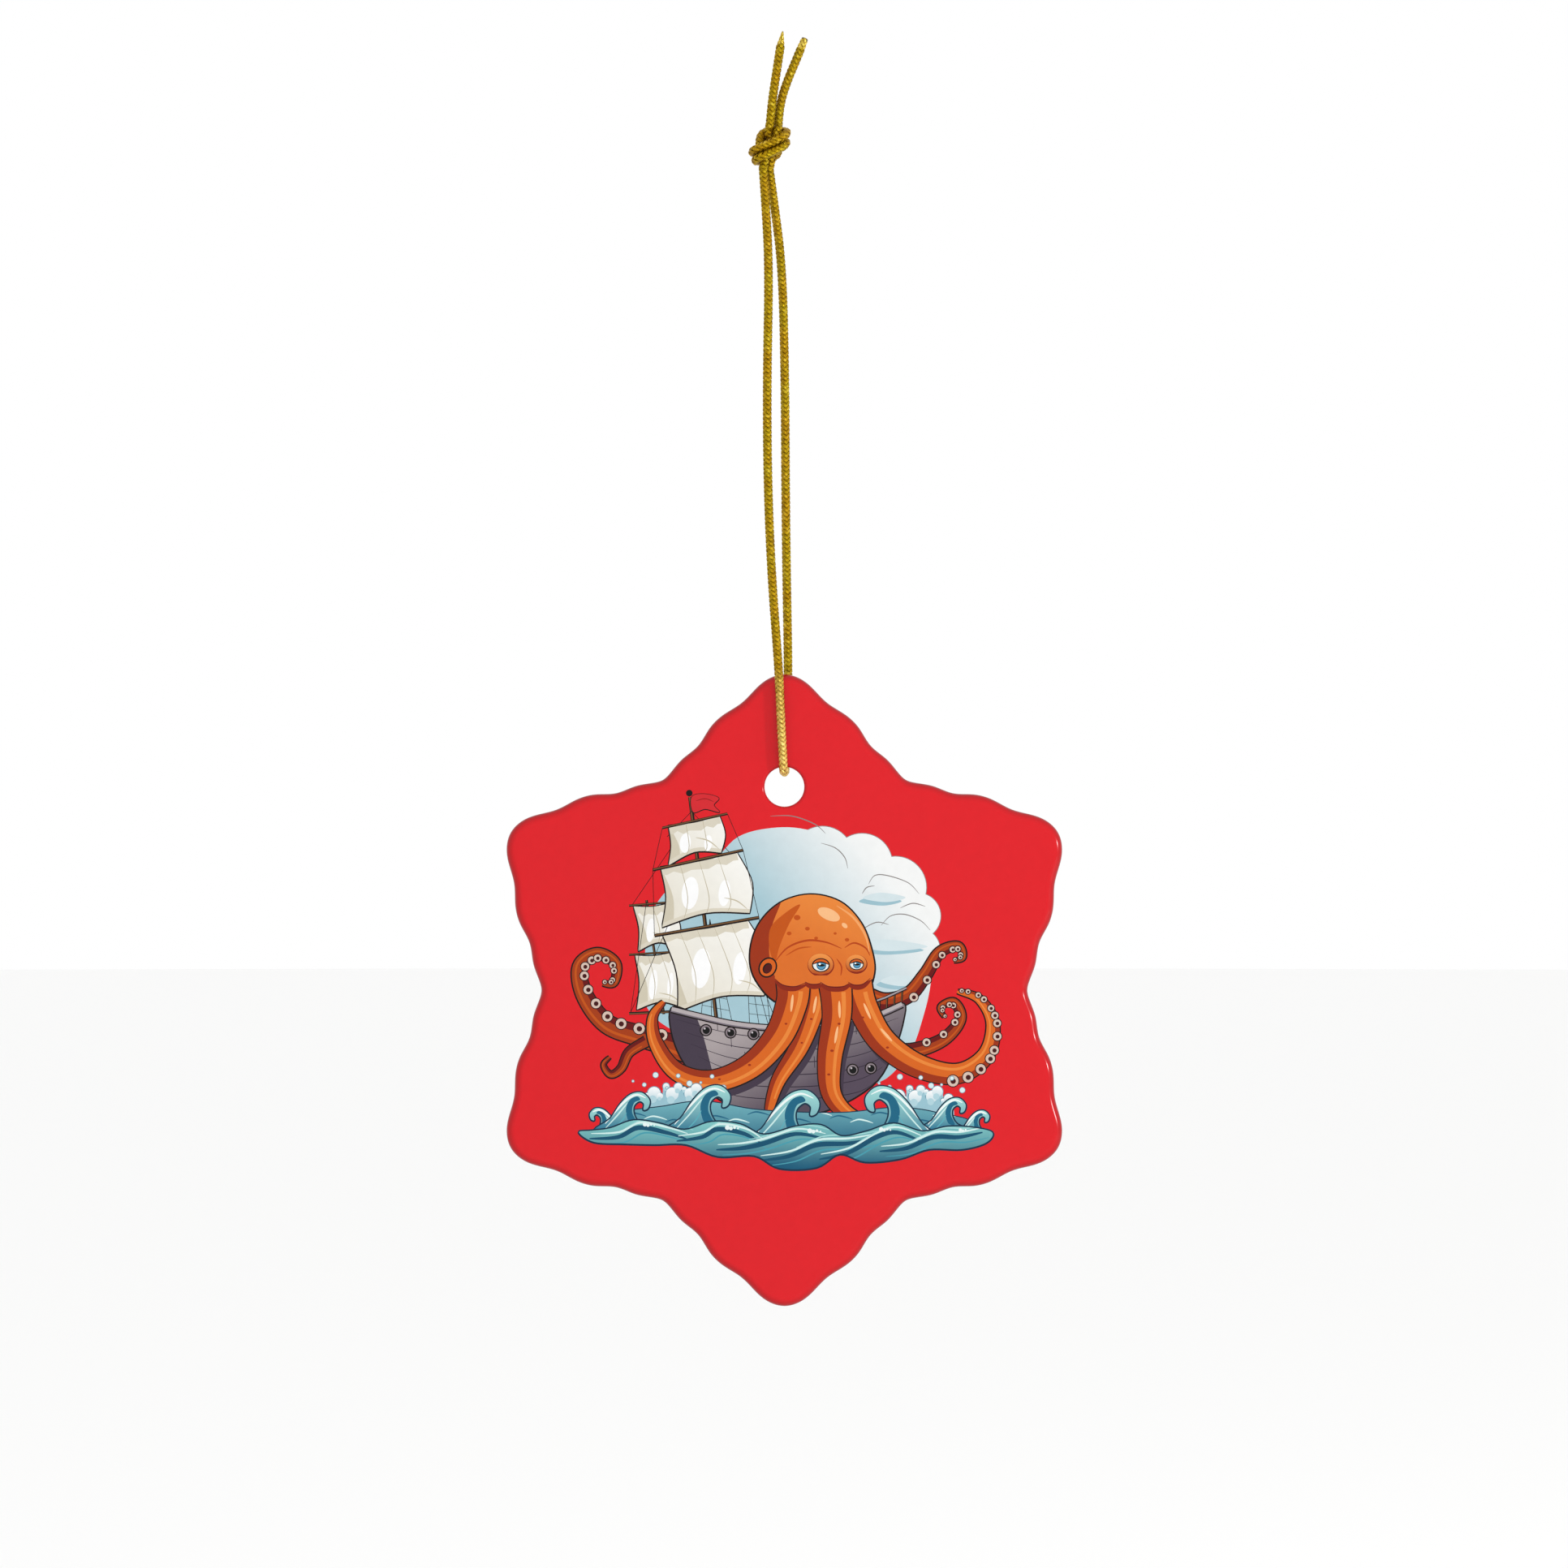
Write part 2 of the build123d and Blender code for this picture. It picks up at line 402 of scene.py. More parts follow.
def fused_glint_yarn():
    """The last of each tail, where heat has run the yarns together: smoother, with paler, brighter gold as
    a painted highlight.
    """
    fused = Finish("gold_cord_fused_glint", Metallic=0.8, Roughness=0.22)
    tint = fused.mottle(1800.0, (0.35, (0.50, 0.33, 0.01)), (0.65, (0.85, 0.66, 0.14)))
    fused.feed(fused.shader, Base_Color=tint)
    fused.bump(fused.noise(3000.0), 0.00004)
    return fused.material


def sealed_end():
    """The singed end of a cut cord: dark, fused and slightly shiny."""
    sealed = Finish("gold_cord_sealed", Roughness=0.4)
    tint = sealed.mottle(3000.0, (0.35, (0.05, 0.028, 0.006)), (0.7, (0.20, 0.12, 0.012)))
    sealed.feed(sealed.shader, Base_Color=tint)
    sealed.bump(sealed.noise(4000.0), 0.00005)
    return sealed.material


# ======== Cord ========

def centre_line(name, route):
    """Points along the route's NURBS line, in millimetres."""
    curve = bpy.data.curves.new(name, "CURVE")
    curve.dimensions = "3D"
    curve.resolution_u = ROUTE_STEPS
    spline = curve.splines.new("NURBS")
    spline.points.add(len(route) - 1)
    for point, place in zip(spline.points, route):
        point.co = (*mm(*place), 1.0)
    spline.order_u = 3
    spline.use_endpoint_u = True
    carrier = linked(name, curve)
    bpy.context.view_layer.update()
    mesh = bpy.data.meshes.new_from_object(carrier)
    line = np.array([vertex.co[:] for vertex in mesh.vertices]) * 1000
    bpy.data.objects.remove(carrier)
    bpy.data.curves.remove(curve)
    bpy.data.meshes.remove(mesh)
    return line


def lengths_along(line):
    steps = np.linalg.norm(np.diff(line, axis=0), axis=1)
    return np.concatenate([[0.0], np.cumsum(steps)])


def respace(line, count):
    """The same line with its points evenly spaced."""
    along = lengths_along(line)
    places = np.linspace(0.0, along[-1], count)
    return np.column_stack([np.interp(places, along, line[:, axis]) for axis in range(3)])


def frames(line, first_side):
    """Two unit vectors square to the line at each point, carried along it without twisting."""
    ahead = unit(np.gradient(line, axis=0))
    side = np.array(first_side, dtype=float)
    sides = []
    for way in ahead:
        side = unit(side - way * side.dot(way))
        sides.append(side)
    sides = np.array(sides)
    return sides, np.cross(ahead, sides)


def rings_round(centres, wide, high, sides):
    """An ellipse of points round each centre; wide and high are its half axes there."""
    around = np.linspace(0.0, 2 * math.pi, sides, endpoint=False)
    cosine, sine = np.cos(around)[None, :, None], np.sin(around)[None, :, None]
    return centres[:, None, :] + wide[:, None, :] * cosine + high[:, None, :] * sine


class MeshParts:
    """Tubes gathered into one mesh, in millimetres, each with yarn coordinates."""

    def __init__(self):
        self.points = []
        self.faces = []
        self.coords = []
        self.slots = []

    def tube(self, rings, coords_along, slot=YARN_SLOT, end_slot=None, end_from=0.0):
        """Rings of points joined into a closed tube with flat ends, end_slot's from end_from on."""
        base = len(self.points)
        count, sides = rings.shape[:2]
        self.points += [tuple(point) for ring in rings for point in ring]
        for ring in range(count - 1):
            low, high = base + ring * sides, base + (ring + 1) * sides
            u0, u1 = coords_along[ring], coords_along[ring + 1]
            for side in range(sides):
                after = (side + 1) % sides
                v0, v1 = side / sides, (side + 1) / sides
                self.faces.append((low + side, low + after, high + after, high + side))
                self.coords += [(u0, v0), (u0, v1), (u1, v1), (u1, v0)]
                self.slots.append(slot if end_slot is None or u0 < end_from else end_slot)
        for ring, step in ((0, -1), (count - 1, 1)):
            start = base + ring * sides
            self.faces.append(tuple(range(start, start + sides))[::step])
            self.coords += [(coords_along[ring], 0.5)] * sides
            self.slots.append(slot)

    def make(self, name, materials):
        mesh = bpy.data.meshes.new(name)
        mesh.from_pydata([mm(*point) for point in self.points], [], self.faces)
        layer = mesh.uv_layers.new(name="yarn")
        layer.data.foreach_set("uv", np.array(self.coords, dtype=np.float32).ravel())
        for material in materials:
            mesh.materials.append(material)
        mesh.polygons.foreach_set("material_index", self.slots)
        mesh.shade_smooth()
        mesh.update()
        return linked(name, mesh)


def braid(parts, line, phase=0.0, thickness=None, fused=0.0):
    """Eight interlaced yarns and a core along the line. thickness(distance) scales the cord.

    The last fused millimetres of the yarns take the tail's own finish, whose paler gold is a painted
    highlight.

    Returns the braid's phase at the line's end, so that the next piece can carry it on.
    """
    total = lengths_along(line)[-1]
    line = respace(line, max(int(total / BRAID_STEP), 4))
    along = lengths_along(line)
    scale = np.array([thickness(place) for place in along]) if thickness else np.ones(len(along))
    by_scale = scale[:, None]
    side, depth = frames(line, FIRST_SIDE)
    turn = 2 * math.pi * (along + phase) / BRAID_PITCH
    end_slot = FUSED_GLINT_SLOT if fused else None
    for way in (1, -1):
        for yarn in range(YARNS_EACH_WAY):
            angle = 2 * math.pi * yarn / YARNS_EACH_WAY + way * turn + BRAID_SPINE
            weave = np.cos(2 * (angle - BRAID_SPINE + math.pi / 8))
            radius = (BRAID_RADIUS + way * BRAID_WAVE * weave) * scale
            out = side * np.cos(angle)[:, None] + depth * np.sin(angle)[:, None]
            centre = line + out * radius[:, None]
            ahead = unit(np.gradient(centre, axis=0))
            across = unit(np.cross(ahead, out))
            wide = across * YARN_HALF_WIDTH * by_scale
            high = np.cross(across, ahead) * YARN_HALF_DEPTH * by_scale
            rings = rings_round(centre, wide, high, YARN_SIDES)
            parts.tube(rings, along, end_slot=end_slot, end_from=total - fused)
    core = CORE_RADIUS * by_scale
    parts.tube(rings_round(line, side * core, depth * core, CORE_SIDES), along, slot=CORE_SLOT)
    return phase + total


# ---- Knot ----

def on_curve(a, b, c, d, t):
    """The place at share t of the way from b to c along a Catmull-Rom curve."""
    return 0.5 * (2 * b + (c - a) * t + (2 * a - 5 * b + 4 * c - d) * t**2 + (3 * b - a - 3 * c + d) * t**3)


def smooth_route(points, steps=12):
    """A Catmull-Rom line through points in space."""
    points = np.array(points)
    padded = np.vstack([2 * points[0] - points[1], points, 2 * points[-1] - points[-2]])
    spans = zip(padded[:-3], padded[1:-2], padded[2:-1], padded[3:])
    line = [on_curve(*span, step / steps) for span in spans for step in range(steps)]
    return np.array([*line, points[-1]])


def touching(points, strand, place, reach, skip):
    """Pairs of points nearer than reach that aren't neighbours along one strand."""
    away = points[:, None, :] - points[None, :, :]
    first, second = np.nonzero(np.triu((away**2).sum(axis=2) < reach**2, 1))
    beside = (strand[first] == strand[second]) & (np.abs(place[first] - place[second]) < skip)
    return first[~beside], second[~beside]


def tighten(strands, rounds, gap):
    """Pull both strands short, their ends held, while no two stretches come nearer than gap."""
    count = len(strands[0])
    strand = np.repeat([0, 1], count)
    place = np.tile(np.arange(count), 2)
    ends = [line[[0, -1]].copy() for line in strands]
    refresh, pushes, look_ahead, pull = 6, 6, 0.5, 0.45
    for step in range(rounds):
        for line in strands:
            line[1:-1] += pull * (0.5 * (line[:-2] + line[2:]) - line[1:-1])
        points = np.vstack(strands)
        if step % refresh == 0:
            spacing = lengths_along(strands[0])[-1] / (count - 1)
            skip = math.ceil(0.5 * math.pi * gap / spacing)
            first, second = touching(points, strand, place, gap + look_ahead, skip)
        for _ in range(pushes):
            away = points[first] - points[second]
            apart = np.linalg.norm(away, axis=1) + 1e-9
            short = np.clip(gap - apart, 0.0, None)
            move = away / apart[:, None] * (0.5 * short)[:, None]
            hits = np.zeros(len(points))
            np.add.at(hits, first, short > 0)
            np.add.at(hits, second, short > 0)
            push = np.zeros_like(points)
            np.add.at(push, first, move)
            np.add.at(push, second, -move)
            points += push / np.sqrt(np.maximum(hits, 1.0))[:, None]
            for which, (start, end) in enumerate(ends):
                points[which * count] = start
                points[(which + 1) * count - 1] = end
        strands = [points[:count].copy(), points[count:].copy()]
        if step % refresh == refresh - 1:
            strands = [respace(line, count) for line in strands]
    return strands


def tie_knot(feet, heads):
    """The knot's two strands, pulled tight, then led onto the loop's strands and the tails."""
    strands = []
    for side in (1, -1):
        route = [[c + side * o for c, o in zip(centre, off)] for centre, off in LOOSE_KNOT]
        strands.append(respace(smooth_route(route), KNOT_POINTS))
    strands = tighten(strands, KNOT_ROUNDS, CORD_DIAMETER)
    led = []
    for line, foot, head in zip(strands, feet, heads):
        inside = line[line[:, 2] > foot[-1][2] + FOOT_LEAD]
        top = np.nonzero(inside[:, 2] < head[0][2] - HEAD_LEAD)[0].max()
        led.append(respace(np.vstack([foot, inside[:top + 1], head]), KNOT_POINTS))
    return tighten(led, LEAD_ROUNDS, CORD_DIAMETER)


# ======== Plaque ========

def polar(degrees, distance):
    """A point of the outline: degrees from straight up, towards the right."""
    angle = math.radians(degrees)
    return distance * math.sin(angle), distance * math.cos(angle)


def outline_points():
    """The scalloped outline: a smooth closed cubic through the same points as the CAD model's."""
    knots = []
    for arm in range(ARM_COUNT):
        axis = arm * 360.0 / ARM_COUNT
        knots += [polar(axis - degrees, distance) for degrees, distance in reversed(HALF_ARM[1:])]
        knots += [polar(axis + degrees, distance) for degrees, distance in HALF_ARM[:-1]]
    knots = np.array(knots)
    count = len(knots)
    after = np.roll(knots, -1, axis=0)
    span = np.linalg.norm(after - knots, axis=1)
    before_span = np.roll(span, 1)
    chord = (after - knots) / span[:, None]
    # Slopes at the knots for which the curvature is continuous all the way round.
    system = np.diag(2 * (span + before_span))
    for row in range(count):
        system[row, row - 1] = span[row]
        system[row, (row + 1) % count] = before_span[row]
    right = 3 * (before_span[:, None] * chord + span[:, None] * np.roll(chord, 1, axis=0))
    slope = np.linalg.solve(system, right)
    points = []
    for row in range(count):
        m0, m1 = slope[row] * span[row], slope[(row + 1) % count] * span[row]
        for step in range(OUTLINE_STEPS):
            t = step / OUTLINE_STEPS
            points.append(
                (2 * t**3 - 3 * t**2 + 1) * knots[row] + (t**3 - 2 * t**2 + t) * m0
                + (3 * t**2 - 2 * t**3) * after[row] + (t**3 - t**2) * m1
            )
    return np.array(points)


def inward(points):
    """Unit normals towards the inside of a closed outline that runs clockwise."""
    ahead = unit(np.roll(points, -1, axis=0) - np.roll(points, 1, axis=0))
    return np.column_stack([ahead[:, 1], -ahead[:, 0]])


def quarter(radius, steps):
    """Insets and heights of a rounded edge, from the face to the side."""
    angles = [math.pi / 2 * step / steps for step in range(steps + 1)]
    return [(radius * (1 - math.sin(angle)), radius * (1 - math.cos(angle))) for angle in angles]


def hole_ring(radius):
    angles = np.linspace(0.0, 2 * math.pi, HOLE_SIDES, endpoint=False)
    return np.column_stack([radius * np.sin(angles), HOLE_ABOVE_CENTRE + radius * np.cos(angles)])


class PlaqueMesh:
    """Points and faces of one shell of the plaque. Local (u, v, y) are across, up and into it."""

    def __init__(self):
        self.points = []
        self.faces = []

    def wall(self, loops):
        """Rings of the same length joined by quads. Each loop is an outline and its depth."""
        rings = []
        for flat, y in loops:
            start = len(self.points)
            self.points += [(u, v, y) for u, v in flat]
            rings.append(list(range(start, len(self.points))))
        for first, second in zip(rings, rings[1:]):
            for index in range(len(first)):
                after = (index + 1) % len(first)
                self.faces.append((first[index], first[after], second[after], second[index]))
        return rings

    def sheet(self, outer, hole, drawn=()):
        """A flat face between the outer ring and the hole's ring, cut along the drawn shapes."""
        ringed = outer + hole
        rim, bore = ([self.points[index][:2] for index in ring] for ring in (outer, hole))
        flat, edges = [], []
        for loop in (rim, bore, *drawn):
            base, count = len(flat), len(loop)
            flat += [Vector(point) for point in loop]
            edges += [(base + index, base + (index + 1) % count) for index in range(count)]
        made, _, triangles, origin, _, _ = delaunay_2d_cdt(flat, edges, [], 0, 1e-5)
        centres = np.array([
            sum((made[index] for index in triangle), Vector((0, 0))) / 3 for triangle in triangles
        ])
        # The hole's ring is a polygon: what lies nearer than the middles of its sides is open.
        reach = math.hypot(bore[0][0], bore[0][1] - HOLE_ABOVE_CENTRE) * math.cos(math.pi / len(bore))
        outside_hole = np.hypot(centres[:, 0], centres[:, 1] - HOLE_ABOVE_CENTRE) > reach - 1e-4
        known = {}
        for index, sources in enumerate(origin):
            on_ring = [source for source in sources if source < len(ringed)]
            if on_ring:
                known[index] = ringed[on_ring[0]]
        y = self.points[outer[0]][2]
        for number in np.nonzero(in_shape(centres, rim) & outside_hole)[0]:
            for index in triangles[number]:
                if index not in known:
                    known[index] = len(self.points)
                    self.points.append((*made[index], y))
            self.faces.append(tuple(known[index] for index in triangles[number]))

    def make(self, name, material):
        """The shell as an object: faces outward, smooth but for its sharper edges."""
        mesh = bpy.data.meshes.new(name)
        placed = [mm(PLAQUE_X + u, y, CENTRE_Z + v) for u, v, y in self.points]
        mesh.from_pydata(placed, [], self.faces)
        mesh.materials.append(material)
        work = bmesh.new()
        work.from_mesh(mesh)
        bmesh.ops.recalc_face_normals(work, faces=work.faces)
        work.to_mesh(mesh)
        work.free()
        mesh.shade_smooth()
        mesh.set_sharp_from_angle(angle=SHARP_ANGLE)
        return linked(name, mesh)


def in_shape(points, shape):
    """Which points lie in a closed shape that may overlap itself."""
    shape = np.asarray(shape, dtype=float)
    found = np.zeros(len(points), dtype=bool)
    low, high = shape.min(axis=0), shape.max(axis=0)
    near = np.nonzero(((points >= low) & (points <= high)).all(axis=1))[0]
    if not len(near):
        return found
    u, v = points[near, 0][:, None], points[near, 1][:, None]
    after = np.roll(shape, -1, axis=0)
    u0, v0, u1, v1 = shape[:, 0], shape[:, 1], after[:, 0], after[:, 1]
    left = (u1 - u0) * (v - v0) - (u - u0) * (v1 - v0)
    upward = (v0 <= v) & (v1 > v) & (left > 0)
    downward = (v0 > v) & (v1 <= v) & (left < 0)
    found[near] = upward.sum(axis=1) != downward.sum(axis=1)
    return found


def front_edge(radius, back, steps):
    """Insets and depths of the rounded front edge, set that far back from the coat's surface."""
    return [(back + inset, FRONT_Y + back + drop) for inset, drop in quarter(radius - back, steps)]


def ceramic_side(front, back):
    """The body's side from front to back: set back under the coat as far as its seam, then bare."""
    rounded = reversed(quarter(back, CERAMIC_EDGE_STEPS))
    return [
        *front_edge(front, COAT_THICKNESS, CERAMIC_EDGE_STEPS),
        (COAT_THICKNESS, COAT_SEAM_Y),
        (0.0, COAT_SEAM_Y),
        *((inset, BACK_Y - drop) for inset, drop in rounded),
    ]


def coat_side(front):
    """The coat's side: round to the seam on its outside, and back along its inside."""
    return [
        *front_edge(front, 0.0, COAT_EDGE_STEPS),
        (0.0, COAT_SEAM_Y),
        (COAT_THICKNESS, COAT_SEAM_Y),
        *reversed(front_edge(front, COAT_THICKNESS, COAT_EDGE_STEPS)),
    ]


def make_shell(name, material, rim_side, hole_side, drawn=()):
    """A closed shell with the plaque's outline and hole. Each side lists its insets and depths."""
    shell = PlaqueMesh()
    outline = outline_points()
    normal = inward(outline)
    rim = shell.wall([(outline + normal * inset, y) for inset, y in rim_side])
    bore = shell.wall([(hole_ring(HOLE_RADIUS + inset), y) for inset, y in hole_side])
    shell.sheet(rim[0], bore[0], drawn)
    shell.sheet(rim[-1], bore[-1])
    return shell.make(name, material)


def linear(ink):
    """A #rrggbb ink as the coat's own linear colour, before the studio's light and gloss are added."""
    found = []
    for start in (1, 3, 5):
        value = int(ink[start:start + 2], 16) / 255
        value = value / 12.92 if value <= 0.04045 else ((value + 0.055) / 1.055) ** 2.4
        found.append(max(value - PRINT_GLOSS, DARKEST_INK) / STUDIO_LEVEL)
    return np.array(found)


def on_face(places):
    """Places in metres as millimetres across and up from the plaque's centre."""
    return places[:, [0, 2]] * 1000 - (PLAQUE_X, CENTRE_Z)


def ink_faces(made, art):
    """Give every corner of the coat its ink: the topmost shape that its face lies in, with painted shade
    where the edge rounds over.
    """
    mesh = made.data
    centres = read(mesh.polygons, "center", 3)
    faces = np.nonzero(centres[:, 1] * 1000 < FRONT_Y + 0.001)[0]
    flat = on_face(centres[faces])
    top = np.full(len(centres), -1)
    for index, (shape, _, within) in enumerate(art.layers):
        hit = in_shape(flat, shape)
        if within is not None:
            hit[hit] = in_shape(flat[hit], within)
        top[faces[hit]] = index
    corner_top = np.repeat(top, read(mesh.polygons, "loop_total", kind=int))
    places = read(mesh.vertices, "co", 3)[read(mesh.loops, "vertex_index", kind=int)]
    corner_flat = on_face(places)
    colours = np.ones((len(places), 4))
    colours[:, :3] = linear(RED)
    for index in np.unique(corner_top[corner_top >= 0]):
        here = corner_top == index
        ink = art.layers[index][1]
        if isinstance(ink, str):
            colours[here, :3] = linear(ink)
            continue
        first, second, start, end = ink
        way = np.subtract(end, start)
        share = np.clip((corner_flat[here] - start) @ way / way.dot(way), 0.0, 1.0)[:, None]
        colours[here, :3] = linear(first) * (1 - share) + linear(second) * share
    # Painted shade on the rounded edge: darker the further the surface has turned.
    drop = np.clip((places[:, 1] * 1000 - FRONT_Y) / FRONT_EDGE_RADIUS, 0.0, 1.0)
    colours[:, :3] *= 1 - RIM_SHADE * (1 - (1 - drop) ** 2)[:, None]
    layer = mesh.color_attributes.new("ink", "FLOAT_COLOR", "CORNER")
    layer.data.foreach_set("color", colours.astype(np.float32).ravel())


# ======== Picture ========
# Every shape is in millimetres across and up from the plaque's centre.

# The studio's light on the face, and what the gloss adds, in linear light.
PRINT_IOR = 1.30
PRINT_GLOSS = 0.017
STUDIO_LEVEL = 1.16
DARKEST_INK = 0.001
# How dark the painted shade on the rounded edge gets.
RIM_SHADE = 0.55
# Inks that are used more than once, and the plaque's own red.
RED = "#E22C32"
WHITE = "#FFFFFF"
LINE = "#2A1A22"
SEA_LINE, SEA_FOAM, SPRAY_LINE = "#1C3A4E", "#D5F1EE", "#5F93A6"
SEAM = "#3C3440"
SAIL_LIGHT, SAIL_CREAM, SAIL_DARK = "#FAF9F4", "#E6E0D0", "#D3CBB6"
ORANGE_LIGHT, ORANGE, ORANGE_DARK = "#EC8B42", "#DB6B2C", "#A03C18"
SKIN, FOLD, WRINKLE, SPOT, GLINT = "#DF7434", "#8E3212", "#B84A1A", "#C4561F", "#FBC08A"
BACK_LIGHT, BACK, BACK_DARK = "#C65A26", "#A84420", "#6E2412"


def smooth(points, closed=False, steps=6):
    """A Catmull-Rom curve through the points, as more points."""
    ends = (points[-1], [points[0], points[1]]) if closed else (points[0], [points[-1]])
    padded = [ends[0], *points, *ends[1]]
    line = []
    for span in zip(padded, padded[1:], padded[2:], padded[3:]):
        line += [tuple(on_curve(*near, step / steps) for near in zip(*span)) for step in range(steps)]
    if not closed:
        line.append(tuple(points[-1]))
    return line


def middle(first, second, du=0.0, dv=0.0):
    """The point halfway between two, moved by du and dv."""
    return (first[0] + second[0]) / 2 + du, (first[1] + second[1]) / 2 + dv


def along_edge(start, end, share):
    """The point at a share of the way between two."""
    return tuple(a + (b - a) * share for a, b in zip(start, end))


def moved(points, du, dv):
    """The same points, moved."""
    return [(u + du, v + dv) for u, v in points]


def normals(line):
    """The unit normal at each point of a line, to its left."""
    found = []
    for index in range(len(line)):
        before = line[max(index - 1, 0)]
        after = line[min(index + 1, len(line) - 1)]
        du, dv = after[0] - before[0], after[1] - before[1]
        length = math.hypot(du, dv) or 1.0
        found.append((-dv / length, du / length))
    return found


def ribbon(line, width, shift=0.0, start=0.0, end=1.0):
    """A band along a line. width and shift are numbers, or functions of the share of the way along."""
    count = len(line)
    left, right = [], []
    for index, ((u, v), (nu, nv)) in enumerate(zip(line, normals(line))):
        share = index / (count - 1)
        if not start <= share <= end:
            continue
        half = (width(share) if callable(width) else width) / 2
        off = shift(share) if callable(shift) else shift
        left.append((u + nu * (off + half), v + nv * (off + half)))
        right.append((u + nu * (off - half), v + nv * (off - half)))
    return left + right[::-1]


def disc(u, v, radius_u, radius_v=None, turn=0.0, sides=20):
    """An ellipse, turned by turn degrees."""
    radius_v = radius_v or radius_u
    cosine, sine = math.cos(math.radians(turn)), math.sin(math.radians(turn))
    ring = []
    for side in range(sides):
        angle = 2 * math.pi * side / sides
        a, b = radius_u * math.cos(angle), radius_v * math.sin(angle)
        ring.append((u + a * cosine - b * sine, v + a * sine + b * cosine))
    return ring


def grown(shape, by, drop=0.0):
    """The same closed shape, larger by that much all round, for the dark line behind it."""
    count = len(shape)
    area = sum(shape[i - 1][0] * shape[i][1] - shape[i][0] * shape[i - 1][1] for i in range(count))
    side = -1 if area > 0 else 1
    ring = []
    for index in range(count):
        before, after = shape[index - 1], shape[(index + 1) % count]
        du, dv = after[0] - before[0], after[1] - before[1]
        length = math.hypot(du, dv) or 1.0
        ring.append((
            shape[index][0] - dv / length * by * side,
            shape[index][1] + du / length * by * side - drop,
        ))
    return ring


class Picture:
    """Flat shapes painted one over the other, in millimetres from the plaque's centre."""

    def __init__(self):
        self.layers = []

    def paint(self, shape, ink, within=None):
        """ink is a colour, or two colours and the two points between which they blend."""
        self.layers.append((shape, ink, within))

    def blob(self, points, ink, within=None):
        """A smooth closed shape through the points."""
        self.paint(smooth(points, closed=True), ink, within)

    def disc(self, ink, u, v, *radii, within=None, **shape):
        """An ellipse, as disc() draws it."""
        self.paint(disc(u, v, *radii, **shape), ink, within)

    def outlined(self, shape, ink, line, by=0.16, drop=0.03):
        self.paint(grown(shape, by, drop), line)
        self.paint(shape, ink)

    def stroke(self, points, width, ink, within=None, steps=6):
        """A drawn line that thins towards its ends."""
        line = smooth(points, steps=steps)
        self.paint(ribbon(line, lambda share: width * (0.25 + 3.0 * share * (1 - share))), ink, within)


def paint_sky(art):
    """A pale blue sky that whitens into a bank of round cloud at its upper right."""
    glow = ("#A8CAD5", "#F6F7F6", (1, 6), (12.5, 15.5))
    sky = [
        (-9, 16.4), (-5.8, 19.4), (-1.6, 20.5), (2.8, 20.3), (8, 18.4), (13, 14), (17.6, 8.6),
        (18.6, 3), (17.6, -3), (15, -9), (9, -12), (-7, -8), (-16.6, -3.2), (-17.6, 3),
        (-16.8, 9.6), (-13.4, 14),
    ]
    lobes = [(4.8, 16.8, 3.9), (9.8, 16, 3.8), (14, 13, 3.9), (16.8, 9.4, 2.9), (17, 5.2, 2.6)]
    for u, v, radius in lobes:
        art.disc("#948A8A", u, v, radius + 0.09, sides=48)
    art.blob(sky, glow)
    for u, v, radius in lobes:
        art.disc(glow, u, v, radius, sides=48)
    # The clouds' own folds, drawn as short arcs, and flat drifts of blue shade.
    for fold in [
        [(4.6, 18.6), (6.4, 18), (7.6, 16.8), (8, 15.4)],
        [(10.6, 13.4), (11.4, 14.5), (13, 14.5), (15.6, 13.6), (17, 12.2)],
        [(9.8, 12.2), (10.4, 13), (11.4, 13.2)],
        [(12.2, 8.2), (13.4, 9.4), (15.2, 9.6), (17.2, 8.8), (18.4, 7.6)],
        [(9.6, 7.6), (11.6, 8.6), (13.2, 8.3)],
        [(-1.8, 22), (1, 22), (3.8, 21), (5.2, 19.8)],
        [(14.6, 10.4), (16.2, 11), (17.8, 10.6)],
    ]:
        art.stroke(fold, 0.13, "#8C8684")
    for drift in [
        [(9.4, 11.2), (11.6, 11.9), (14.8, 11.3), (12.4, 10.7)],
        [(9, 5.2), (12, 6), (17.6, 5.1), (12.6, 4.5)],
        [(11.6, 0.7), (14, 1.5), (18, 0.7), (14.4, 0.1)],
    ]:
        art.blob(drift, "#9FC3CF")
        art.blob(moved(drift, 0.5, 0.45), "#D7E6EA")


